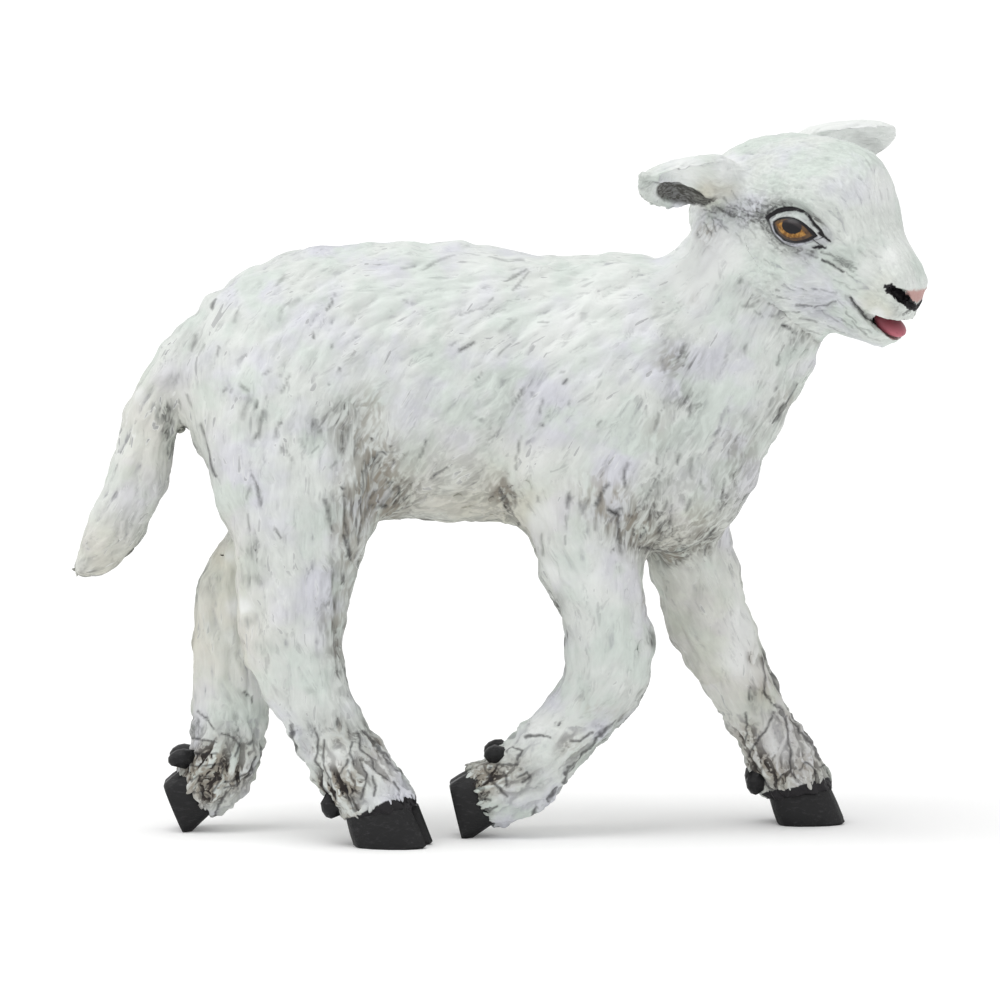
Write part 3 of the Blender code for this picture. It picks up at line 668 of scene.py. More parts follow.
def almondArcs(look):
    # radius and middle height of the two circles that the almond lies in
    arcs = []
    for height, sign in ((look["top"], 1), (look["bottom"], -1)):
        radius = (look["half"] ** 2 + height ** 2) / (2 * height)
        arcs.append((radius, sign * (height - radius)))
    return arcs


def almondReach(along, up):
    # distance outside the almond, negative inside
    reaches = [np.hypot(along, up - middle) - radius for radius, middle in almondArcs(eyeLook)]
    return np.maximum(*reaches)


def hump(x, middle, width):
    return np.exp(-((x - middle) / width) ** 2)


def outward(node):
    return headLeft * (1 if node == "left_eye" else -1)


def shapeLids(node):
    # the socket, the lids, the groove round them and the brow
    look = eyeLook
    place = toEye(points, node)
    close = np.hypot(place[:, 0], place[:, 2]) < look["around"]
    near = (label == labelOf["head"]) & (place[:, 1] > -look["behind"]) & close
    along, up = place[near, 0], place[near, 2]
    reach = almondReach(along, up)
    lift = -look["sink"] * smoothStep(-0.05 * mm, -0.35 * mm, reach)
    lift += look["lid"] * hump(reach, look["lidAt"], look["lidSpread"])
    rise = (look["creaseAbove"] - look["creaseBelow"]) * smoothStep(-0.4 * mm, 0.4 * mm, up)
    creaseAt = look["creaseBelow"] + rise - look["creaseIn"] * smoothStep(0.1 * mm, 1.6 * mm, along)
    lift -= look["crease"] * hump(reach, creaseAt, look["creaseSpread"])
    lift += look["brow"] * hump(reach, look["browAt"], look["browSpread"]) * smoothStep(0, 0.8 * mm, up)
    eyePlaces[near], eyeReach[near], eyeLift[near], eyeWays[near] = place[near], reach, lift, outward(node)


# far from an eye these keep their first values
eyePlaces, eyeReach = np.full((len(points), 3), 30 * mm), np.full(len(points), 9 * mm)
eyeLift, eyeWays = np.zeros(len(points)), np.zeros((len(points), 3))
for node in eyeMiddles:
    shapeLids(node)


def makeEyeball(node):
    # a lens that follows the skin over the almond, a little prouder
    look = eyeLook
    bpy.context.view_layer.update()
    tree = BVHTree.FromObject(skin, bpy.context.evaluated_depsgraph_get())
    side = outward(node)
    front, back = [], []
    for ring in range(look["rings"] + 1):
        share = ring / look["rings"]
        for spoke in range(look["spokes"] if ring else 1):
            angle = 2 * math.pi * spoke / look["spokes"]
            reaches = []
            for radius, middle in almondArcs(look):
                swing = middle * math.sin(angle)
                reaches.append(swing + math.sqrt(swing ** 2 - middle ** 2 + radius ** 2))
            far = min(reaches) * look["cover"] * share
            place = np.array([[far * math.cos(angle), 6 * mm, far * math.sin(angle)]])
            start = fromEye(place, node)[0]
            base = np.array(tree.ray_cast(Vector(start), Vector(-side))[0])
            front.append(base + side * look["bulge"] * (1 - share ** 2.6))
            back.append(base - side * (look["body"] * (1 - 0.35 * share)))
    return front, back


def lensMesh(name, front, back, spokes):
    # front and back of a lens as one closed mesh
    count = len(front)
    faces = []
    for offset, flip in ((0, False), (count, True)):
        for spoke in range(spokes):
            following = (spoke + 1) % spokes
            fan = [offset, offset + 1 + spoke, offset + 1 + following]
            faces.append(fan[::-1] if flip else fan)
            for ring in range((count - 1) // spokes - 1):
                inner, outer = offset + 1 + ring * spokes, offset + 1 + (ring + 1) * spokes
                quad = [inner + spoke, outer + spoke, outer + following, inner + following]
                faces.append(quad[::-1] if flip else quad)
    rim = count - spokes
    for spoke in range(spokes):
        following = (spoke + 1) % spokes
        faces.append([rim + spoke, count + rim + spoke, count + rim + following, rim + following])
    mesh = bpy.data.meshes.new(name)
    mesh.from_pydata([Vector(p) for p in front + back], [], faces)
    work = opened(mesh)
    bmesh.ops.recalc_face_normals(work, faces=work.faces)
    closed(work, mesh)
    mesh.shade_smooth()
    return mesh


eyeballs = {node: makeEyeball(node) for node in eyeMiddles}
print("eyes fitted")

# face: what is cut and painted, by its place in the picture
faceLines = {
    # points in the picture, width in pixels, strength
    "nostril": ([(890, 289), (895, 292), (901, 296.5), (907, 302), (913, 306.5)], 9.5, 1.7),
    "nostrilTip": ([(885, 286.5), (890, 289)], 3.5, 1.4),
    "mouth": ([(850, 299), (856, 307), (862, 314), (869, 319), (877, 322.5)], 3.6, 0.85),
    "mouthShade": ([(848, 298), (858, 309), (866, 317), (878, 324)], 7.0, 0.30),
    "lip": ([(878, 322.5), (892, 325), (905, 321.5)], 1.8, 0.8),
    "lipFold": ([(904, 316), (911, 311)], 2.4, 0.7),
    "noseFold": ([(918, 303), (921, 308)], 2.0, 0.45),
    "tearAbove": ([(820, 232.5), (829, 241.5)], 2.4, 1.1),
    "tearMiddle": ([(813, 239), (818, 243.5), (823, 247)], 2.0, 0.9),
    "tearBelow": ([(813, 248.5), (818, 247), (825, 248)], 2.6, 1.1),
    "cornerAbove": ([(765, 219), (768, 212), (776, 206.5)], 2.4, 0.8),
    "browTick": ([(763, 206), (769, 206.5)], 2.0, 0.6),
    "earRoot": ([(716, 207), (724, 212), (734, 217)], 2.2, 0.7),
    "templeLong": ([(742, 211), (752, 211.5), (764, 213)], 1.4, 0.5),
    "temple": ([(750, 215), (757, 217), (765, 218)], 2.2, 0.7),
    "cheekLong": ([(828, 255), (840, 260), (853, 266)], 1.5, 0.55),
    "cheekBold": ([(822, 260), (829, 262.5), (836, 267), (843, 272)], 2.6, 0.9),
}
faceStrokes = [
    # from, to, strength
    (745, 216, 765, 214, .8), (753, 222, 767, 226, .8), (762, 206, 769, 209, .9), (765, 200, 771, 199, .8),
    (767, 213, 766, 228, .9), (766, 228, 771, 236, .8), (772, 238, 780, 245, .6), (829, 254, 851, 268, .8),
    (833, 260, 843, 264, .9), (841, 264, 854, 271, .8), (704, 210, 716, 214, 1), (708, 216, 722, 221, .8),
    (716, 208, 734, 213, 1), (728, 213, 744, 219, .9), (718, 224, 728, 228, .6),
    (820, 252, 829, 255, .8), (836, 256, 852, 263, .7), (843, 262, 856, 269, .8), (846, 272, 854, 278, .6),
    (800, 304, 812, 306, .8), (814, 307, 836, 302, .8), (776, 296, 790, 300, .7), (745, 297, 752, 306, .6),
    (742, 282, 746, 287, .7), (786, 325, 793, 330, .9), (838, 317, 852, 327, .6), (860, 327, 872, 333, .5),
    (846, 286, 856, 292, .4), (735, 206, 741, 208, .9), (755, 219, 767, 222, .8), (760, 226, 768, 238, .5),
    (766, 236, 776, 246, .5), (772, 245, 782, 252, .4), (745, 199, 758, 203, .5), (868, 337, 880, 341, .4),
    (866, 160, 872, 170, .3), (880, 190, 883, 200, .3), (806, 254, 818, 258, .6), (726, 207, 738, 210, .8),
    (704, 222, 712, 236, .8), (712, 218, 716, 232, .8), (697, 232, 702, 246, .7), (724, 198, 730, 206, .6),
    (738, 226, 752, 230, .5), (732, 190, 738, 200, .5), (752, 188, 764, 192, .35), (764, 260, 774, 266, .5),
    (720, 300, 726, 312, .5), (728, 318, 733, 330, .5), (756, 318, 764, 327, .6), (770, 310, 784, 314, .7),
    (766, 330, 780, 338, .6), (800, 318, 818, 322, .6), (806, 330, 822, 335, .5), (828, 326, 844, 333, .5),
    (782, 343, 788, 356, .5), (768, 350, 772, 366, .5), (750, 340, 754, 352, .45), (778, 368, 780, 380, .5),
    (834, 280, 846, 284, .4), (820, 290, 836, 294, .5), (790, 285, 804, 290, .4), (858, 250, 866, 256, .3),
    (846, 312, 856, 322, .7), (852, 322, 866, 334, .6), (838, 300, 846, 310, .5), (822, 312, 838, 322, .5),
    (784, 312, 800, 312, .6), (736, 232, 742, 242, .4), (720, 222, 728, 232, .6), (748, 226, 756, 238, .4),
    (860, 178, 870, 190, .2), (842, 190, 850, 198, .2), (748, 172, 758, 178, .2), (878, 222, 881, 234, .2),
]
soreSpots = {
    # points in the picture, width, strength of the rose paint
    "nosePad": ([(909, 297), (918, 296), (926, 294)], 12, 0.80),
    "gum": ([(884, 327), (893, 331), (901, 328)], 8, 2.0),
    "gumLow": ([(892, 334.5), (902, 334)], 6, 2.0),
}
faceRelief = {
    # points in the picture, width, softness, height
    "nostril": (faceLines["nostril"][0], 5, 4, -0.42 * mm),
    "mouth": (faceLines["mouth"][0], 1.5, 3.0, -0.20 * mm),
    "lip": ([(856, 299), (868, 310), (882, 318), (900, 317)], 3, 7, 0.12 * mm),
}
calmSpots = [
    # where no locks are carved: points in the picture, width, softness
    ([(880, 310), (905, 312)], 16, 16),
    ([(900, 290), (920, 300)], 14, 12),
    ([(850, 303), (880, 324)], 5, 8),
]
earMarks = {
    # points in the picture, width, softness
    "hollow": ([(667, 191), (678, 193), (690, 197), (702, 203), (716, 209)], 19, 5),
    "fold": ([(642, 176), (658, 178), (680, 179), (698, 187), (716, 202)], 4, 5),
    "edge": [(654, 182), (668, 182), (682, 183), (697, 190), (712, 201), (722, 210)],
    "farShade": ([(858, 137), (872, 144), (882, 152)], 9, 8),
}
earLook = [
    # ear, mark, height, strength of the painted shade
    ("right_ear", "hollow", -0.16 * mm, 1.0),
    ("right_ear", "fold", 0.34 * mm, 0.0),
    ("left_ear", "farShade", 0.0, 0.2),
]
footLines = {
    # by leg: the dark lines between the strands, points in the picture
    "right_hind_leg": [
        [(291, 724), (293, 738), (298, 754), (301, 764), (310, 780), (316, 790)],
        [(314, 728), (318, 740), (316, 760), (320, 772), (323, 784), (330, 792)],
        [(324, 740), (322, 756), (327, 774), (333, 788), (338, 798)],
        [(338, 718), (337, 726)], [(348, 760), (340, 774), (336, 784)],
        [(364, 730), (374, 746), (386, 758), (402, 774), (414, 790)],
        [(366, 730), (378, 748), (384, 760), (396, 772)],
        [(358, 732), (360, 750), (370, 758), (376, 772), (386, 780)],
        [(360, 760), (366, 774), (364, 788), (360, 800)], [(348, 770), (356, 784), (350, 796), (356, 810)],
        [(344, 784), (348, 800), (354, 812)], [(352, 742), (350, 754), (354, 764)],
        [(392, 782), (398, 790)], [(372, 776), (376, 786), (374, 796)],
    ],
    "left_hind_leg": [
        [(190, 696), (187, 706), (188, 720), (186, 736)], [(198, 712), (208, 720), (214, 728)],
        [(190, 738), (202, 740), (216, 742)], [(190, 752), (200, 754), (216, 754)],
        [(190, 766), (204, 766), (220, 764)], [(182, 776), (190, 780), (202, 776), (216, 778)],
        [(190, 792), (202, 792), (210, 798)], [(222, 734), (234, 738), (240, 746), (236, 756)],
        [(220, 760), (224, 768), (220, 780), (212, 792)], [(254, 734), (248, 744)],
        [(260, 742), (262, 756), (254, 770), (242, 782), (224, 788)],
        [(254, 756), (252, 770), (238, 778), (226, 782)], [(226, 792), (220, 804), (214, 816)],
        [(244, 692), (248, 696)], [(251, 698), (252, 703)],
    ],
    "right_fore_leg": [
        [(485, 767), (490, 780), (500, 790), (507, 796)], [(486, 774), (496, 784), (504, 794)],
        [(495, 767), (505, 775), (507, 785)], [(476, 777), (477, 792), (482, 800)],
        [(478, 784), (484, 789), (481, 797)], [(480, 807), (488, 812), (497, 807)], [(484, 800), (491, 800)],
        [(497, 765), (507, 764), (517, 765)], [(507, 752), (512, 747), (522, 750), (517, 760)],
        [(517, 777), (527, 772), (530, 777), (522, 782)], [(525, 737), (540, 735), (550, 737)],
        [(615, 721), (602, 732), (590, 745), (580, 757), (570, 772), (562, 782)],
        [(580, 757), (572, 765), (565, 775)], [(570, 740), (580, 740), (592, 732)],
        [(537, 807), (530, 815)], [(557, 787), (547, 800)], [(557, 726), (559, 724)],
    ],
    "left_fore_leg": [
        [(760, 657), (762, 665), (766, 657), (764, 649)],
        [(762, 665), (765, 680), (764, 692), (772, 702), (782, 710), (786, 725)],
        [(768, 657), (772, 677), (778, 690), (788, 707), (798, 722), (808, 737), (818, 752)],
        [(792, 720), (800, 732), (812, 745), (820, 760)], [(751, 687), (749, 700)],
        [(746, 712), (747, 732), (746, 742)], [(775, 712), (765, 730), (751, 750), (748, 757)],
        [(785, 717), (787, 735), (792, 752), (790, 770), (796, 780)], [(752, 760), (760, 770), (765, 780)],
        [(800, 770), (805, 762), (815, 770), (820, 782)], [(822, 767), (827, 760)],
        [(762, 767), (765, 785), (770, 790)], [(782, 775), (775, 785)],
    ],
}
coatMarks = [
    # thin grooves in the coat: from, to, width, strength
    # the fold in front of the belly and the one behind it
    (499, 487, 504, 500, 3, .9), (504, 500, 511, 514, 3, .9), (511, 514, 518, 520, 2, .7),
    (514, 490, 516, 505, 3, .6), (519, 442, 516, 470, 1.5, .4), (537, 498, 537, 502, 4, .4),
    (350, 425, 343, 455, 4, .5), (355, 430, 354, 458, 2, .5), (362, 440, 362, 441, 2, .8),
    (371, 438, 371, 439, 2, .8), (383, 452, 386, 454, 2.5, .9), (377, 455, 365, 470, 2, .6),
    (394, 462, 394, 463, 2.5, .8), (387, 482, 387, 483, 2.5, .8), (398, 487, 399, 495, 3, .7),
    (393, 503, 396, 500, 3, .8), (382, 507, 386, 505, 3, .8), (373, 505, 379, 508, 3, .6),
    (427, 438, 423, 449, 2.5, .7), (436, 475, 432, 479, 4, .7), (393, 443, 390, 447, 2, .6),
    (325, 498, 331, 520, 3, .6), (331, 520, 333, 532, 2, .6), (343, 495, 345, 515, 3, .6),
    (344, 535, 350, 555, 4, .8), (363, 470, 362, 485, 2, .5), (374, 460, 373, 480, 2, .5),
    # behind the elbow
    (569, 494, 568, 506, 5, .7), (580, 502, 583, 512, 5, .5), (595, 505, 606, 486, 4, .8),
    (609, 510, 618, 514, 5, .9), (617, 515, 618, 532, 4, .7), (624, 470, 626, 488, 3, .7),
    (610, 550, 611, 551, 2, .9), (620, 545, 621, 553, 4, .5), (628, 515, 632, 513, 2, .7),
    (565, 535, 566, 545, 2, .4), (541, 535, 543, 555, 3, .4),
    # haunch and thigh
    (213, 309, 217, 301, 3, .7), (234, 322, 237, 312, 5, .3), (276, 285, 284, 272, 4, .3),
    (279, 320, 281, 310, 5, .25), (290, 306, 299, 300, 6, .25), (327, 309, 331, 301, 3.5, .7),
    (331, 301, 335, 294, 1.5, .4), (313, 338, 314, 334, 3, .6), (330, 350, 333, 343, 2, .5),
    (338, 373, 340, 368, 3, .6), (351, 355, 355, 351, 3, .4), (329, 385, 330, 383, 3, .5),
    (219, 355, 221, 348, 3.5, .5), (192, 352, 197, 336, 3, .35), (186, 345, 189, 335, 2, .3),
    (200, 356, 205, 345, 3, .3), (231, 391, 233, 389, 4, .4), (223, 392, 226, 388, 2.5, .4),
    (242, 385, 248, 390, 5, .45), (243, 418, 246, 408, 6, .35), (255, 407, 257, 402, 4, .6),
    (258, 438, 262, 412, 5, .45), (254, 438, 257, 433, 4, .6), (275, 438, 278, 424, 4, .45),
    (281, 424, 283, 419, 2.5, .5), (282, 392, 287, 382, 4, .45), (286, 380, 290, 375, 3, .4),
    (264, 375, 270, 370, 4, .35), (266, 400, 267, 390, 2, .3), (313, 424, 314, 420, 5, .5),
    (320, 432, 322, 426, 3, .4), (280, 453, 281, 447, 3, .5), (285, 450, 293, 462, 3, .35),
    (301, 440, 304, 447, 4, .35), (312, 453, 320, 445, 2, .35), (201, 424, 206, 442, 3, .6),
    (206, 442, 217, 476, 3, .75), (180, 420, 184, 438, 3, .55), (184, 438, 192, 452, 2, .4),
    (191, 437, 198, 448, 3, .5), (179, 400, 182, 410, 2, .4), (186, 395, 191, 408, 2.5, .4),
    (251, 474, 256, 485, 3, .45), (256, 485, 261, 506, 3.5, .6), (246, 500, 250, 488, 3, .35),
    (247, 515, 249, 530, 4, .45), (275, 528, 281, 538, 3.5, .6), (324, 500, 327, 513, 4, .55),
    (327, 513, 333, 532, 3, .45), (341, 487, 343, 489, 3, .7), (343, 500, 345, 520, 3.5, .6),
    (345, 520, 349, 545, 3.5, .65), (349, 545, 352, 560, 3.5, .7), (361, 470, 363, 492, 3.5, .6),
    (364, 460, 367, 475, 3, .5), (360, 497, 361, 515, 3, .6), (362, 520, 358, 545, 3, .6),
    (373, 460, 378, 455, 4, .6), (372, 500, 377, 490, 3, .5), (366, 520, 372, 505, 3, .5),
    (343, 425, 343, 450, 3, .45), (354, 440, 355, 455, 2.5, .6), (330, 467, 336, 461, 3, .4),
    (357, 425, 357, 440, 2, .4), (363, 473, 372, 457, 3, .5), (397, 487, 380, 507, 3.5, .5),
    # back and flank
    (402, 268, 415, 263, 3, .35), (422, 268, 433, 262, 4, .35), (433, 262, 455, 258, 2.5, .35),
    (487, 257, 523, 260, 2, .35), (505, 280, 527, 272, 2.2, .5), (512, 290, 528, 275, 3.5, .4),
    (460, 315, 483, 308, 2.5, .35), (483, 308, 493, 297, 2, .35), (492, 313, 505, 308, 3, .35),
    (500, 332, 516, 321, 6, .3), (460, 350, 473, 343, 4, .65), (450, 346, 456, 341, 3, .35),
    (538, 323, 548, 322, 2, .4), (475, 382, 482, 372, 2, .5), (493, 360, 517, 338, 1.5, .4),
    (405, 300, 407, 301, 2.5, .5), (513, 403, 523, 390, 3.5, .6), (533, 395, 534, 396, 3.5, .65),
    (540, 413, 543, 400, 2.5, .5), (541, 424, 543, 426, 3.5, .7), (478, 420, 482, 420, 2.5, .45),
    (420, 457, 427, 440, 3, .5), (378, 453, 395, 453, 2.5, .5), (433, 478, 447, 467, 3.5, .6),
    (490, 440, 500, 430, 2.5, .4), (517, 460, 520, 437, 3, .5), (502, 490, 512, 507, 3.5, .7),
    (512, 507, 518, 525, 3, .7), (562, 372, 563, 373, 3.5, .5), (564, 384, 566, 380, 4, .7),
    # shoulder and breast
    (568, 405, 570, 401, 3, .4), (597, 426, 600, 421, 3.5, .55), (583, 362, 584, 360, 3, .35),
    (568, 503, 571, 498, 6, .6), (585, 508, 588, 500, 6, .45), (597, 506, 602, 497, 5, .6),
    (604, 488, 609, 484, 5, .65), (611, 512, 620, 507, 5, .65), (628, 515, 632, 516, 4, .6),
    (617, 520, 619, 538, 5, .7), (619, 538, 621, 552, 4, .5), (595, 530, 596, 520, 3, .4),
    (566, 530, 567, 515, 3, .35), (611, 551, 613, 549, 3, .6), (625, 470, 628, 464, 4, .5),
    (623, 480, 626, 488, 3, .5), (636, 511, 652, 489, 2.2, .55), (652, 489, 663, 470, 2.2, .5),
    (677, 463, 679, 455, 4, .6), (656, 463, 657, 457, 3, .5), (691, 477, 692, 460, 5, .4),
    (655, 430, 659, 415, 4, .45), (658, 415, 664, 408, 2, .35), (645, 415, 646, 408, 2.5, .35),
    (688, 418, 690, 405, 2, .4), (686, 404, 689, 398, 3, .45), (670, 404, 671, 405, 3, .4),
    (701, 405, 702, 406, 3, .35), (725, 357, 727, 355, 3, .4), (745, 355, 746, 345, 4, .3),
    (736, 440, 738, 437, 4, .5), (728, 455, 731, 448, 2, .4), (716, 437, 722, 428, 2, .4),
    (662, 360, 665, 372, 4, .35), (678, 360, 684, 345, 4, .4), (664, 345, 668, 338, 3, .35),
    (687, 510, 690, 500, 6, .55), (700, 480, 704, 490, 3, .4), (720, 510, 727, 504, 3, .5),
    (705, 517, 712, 512, 4, .45), (722, 500, 724, 480, 3, .4), (733, 480, 736, 470, 2, .35),
    (648, 520, 650, 512, 4, .6), (645, 530, 640, 540, 3, .5), (658, 530, 662, 522, 4, .6),
    (668, 535, 672, 505, 3, .5), (660, 515, 668, 500, 3, .45), (655, 545, 665, 538, 3, .5),
    # the dark line along the bottom of the chest is painted shadow, in a shallow groove
    (640, 548, 668, 551, 3, .7), (668, 551, 695, 543, 3, .6), (695, 543, 715, 528, 2.5, .5),
    (777, 420, 784, 404, 5, .8), (784, 404, 790, 395, 3, .8), (790, 395, 796, 384, 3, .7),
    (774, 390, 776, 387, 3, .5), (770, 408, 774, 400, 3, .4), (777, 365, 780, 358, 3, .5),
    (779, 357, 784, 345, 2, .5), (706, 540, 710, 532, 4, .8), (705, 560, 707, 548, 3, .6),
    # throat
    (783, 326, 790, 328, 4, .9), (792, 332, 797, 333, 3, .7), (796, 305, 804, 306, 4, .6),
    (740, 282, 742, 280, 5, .5), (743, 306, 752, 306, 4, .4), (755, 312, 762, 316, 3, .5),
    (757, 300, 760, 304, 2, .5), (776, 290, 780, 291, 2.5, .5), (768, 303, 774, 306, 2, .45),
    (766, 315, 780, 318, 2, .4),
]
markLook = {
    "tremble": 0.45,                        # how many pixels the hand is off
    "trembleSteps": 9,                      # and over how many steps of the skin
    "line": {"soft": 1.6},
    "stroke": {"width": 1.2, "soft": 1.8, "strength": 0.84},
    "foot": {"width": 2.2, "soft": 1.8, "strength": 0.78, "tremble": 0.9},
    "coat": {"share": 0.7, "strength": 1.05, "tremble": 0.8, "depth": 0.06},
    "sore": {"soft": 3},
    "earEdge": {"width": 2.2, "soft": 2, "strength": 0.6},
    "eyeCalm": (0.95 * mm, 1.7 * mm),       # no locks nearer to an eye than this
    "facing": 0.05,
}


def lineReach(x, y, line):
    # distance in pixels to a line of several points
    best = np.full(len(x), 1e9)
    for (ax, ay), (bx, by) in zip(line, line[1:]):
        dx, dy = bx - ax, by - ay
        t = np.clip(((x - ax) * dx + (y - ay) * dy) / (dx * dx + dy * dy), 0, 1)
        best = np.minimum(best, np.hypot(x - ax - t * dx, y - ay - t * dy))
    return best


def stroke(x, y, line, width, soft=1.0):
    return 1 - smoothStep(width / 2 - soft / 2, width / 2 + soft / 2, lineReach(x, y, line))


def makeTremble():
    # how far the hand is off at each point, across and down the picture
    fields = [spread(random.normal(0, 1, len(points)), skinEdges, markLook["trembleSteps"]) for _ in range(2)]
    return [field * markLook["tremble"] / field.std() for field in fields]


def shaken(place, chosen, share=1.0):
    # the places of chosen points in the picture, as the hand meets them
    return [value + share * field[chosen] for value, field in zip(place, tremble)]


def paintFace():
    x, y = inPicture(nearSide(points))
    face = shaken((x[onHead], y[onHead]), onHead)
    look = markLook["stroke"]
    inked, rosy, lifted = (np.zeros(onHead.sum()) for _ in range(3))
    for line, width, strength in faceLines.values():
        inked = np.maximum(inked, stroke(*face, line, width, markLook["line"]["soft"]) * strength)
    for ax, ay, bx, by, strength in faceStrokes:
        drawn = stroke(*face, [(ax, ay), (bx, by)], look["width"], look["soft"])
        inked = np.maximum(inked, drawn * strength * look["strength"])
    for line, width, strength in soreSpots.values():
        rosy = np.maximum(rosy, stroke(*face, line, width, markLook["sore"]["soft"]) * strength)
    for line, width, soft, height in faceRelief.values():
        lifted = lifted + height * stroke(*face, line, width, soft)
    ink[onHead], pink[onHead], faceLift[onHead] = inked, rosy, lifted
    calm[onHead] = np.maximum.reduce([stroke(*face, *spot) for spot in calmSpots])
    np.maximum(calm, 1 - smoothStep(*markLook["eyeCalm"], eyeReach), out=calm)


def paintFeet():
    look = markLook["foot"]
    for node, lines in footLines.items():
        here = label == labelOf[node]
        foot = shaken(inPicture(points[here]), here, look["tremble"])
        for line in lines:
            drawn = stroke(*foot, line, look["width"], look["soft"])
            ink[here] = np.maximum(ink[here], look["strength"] * drawn)


def grooveCoat():
    # how deep each point lies in a groove of the coat
    look = markLook["coat"]
    coat = np.flatnonzero(~np.isin(label, [labelOf[node] for node in ("right_ear", "left_ear", "tail")]))
    x, y = shaken(inPicture(points[coat]), coat, look["tremble"])
    grooved = np.zeros(len(points))
    for ax, ay, bx, by, width, strength in coatMarks:
        close = np.hypot(x - (ax + bx) / 2, y - (ay + by) / 2) < np.hypot(bx - ax, by - ay) / 2 + width + 2
        here, across = coat[close], width * look["share"]
        drawn = stroke(x[close], y[close], [(ax, ay), (bx, by)], across, across)
        grooved[here] = np.maximum(grooved[here], strength * drawn)
    np.maximum(ink, look["strength"] * grooved, out=ink)
    return grooved


def markEars():
    edge = markLook["earEdge"]
    for node, name, lift, darkness in earLook:
        front = (label == labelOf[node]) & (normals @ viewBack > markLook["facing"])
        ear = shaken(inPicture(points[front]), front)
        share = stroke(*ear, *earMarks[name])
        faceLift[front] += lift * share
        if darkness:
            # painted shade in the ear's hollow under the fold, and under the far ear's fold
            earDark[front] = share * darkness
        else:
            ink[front] = edge["strength"] * stroke(*ear, earMarks["edge"], edge["width"], edge["soft"])


tremble = makeTremble()
onHead = label == labelOf["head"]
ink, pink, calm, faceLift, earDark = (np.zeros(len(points)) for _ in range(5))
paintFace()
paintFeet()
grooved = grooveCoat()
markEars()

# the carved skin
carvingLook = {
    "faint": 0.012,                         # how uneven the casting is everywhere, in mm
    "faintSteps": 3,
    "lumpSteps": 45,
}


def carveSkin():
    faint = spread(random.normal(0, 1, len(points)), skinEdges, carvingLook["faintSteps"])
    lumps = spread(random.normal(0, 1, len(points)), skinEdges, carvingLook["lumpSteps"])
    relief = lockHeight * (1 - calm) + lumps / lumps.std() * lockLook["lumps"] * ~isHead
    relief -= cutShare * lockLook["cuts"]["height"] * mm
    uneven = faint * carvingLook["faint"] * mm * (1 - calm)
    relief += uneven + faceLift - grooved * markLook["coat"]["depth"] * mm
    for area in (isBody, isHead, isFoot):       # the mean stays on the CAD's surface
        relief[area] -= lockHeight[area].mean()
    moved = points + normals * relief[:, None]
    return moved + np.where(np.abs(eyeLift)[:, None] > 0, eyeWays * eyeLift[:, None], 0)


hairPoints = carveSkin()
movePoints(skin.data, hairPoints)
skin.data.update()
hairNormals = normalsOf(skin.data)
print("skin carved")
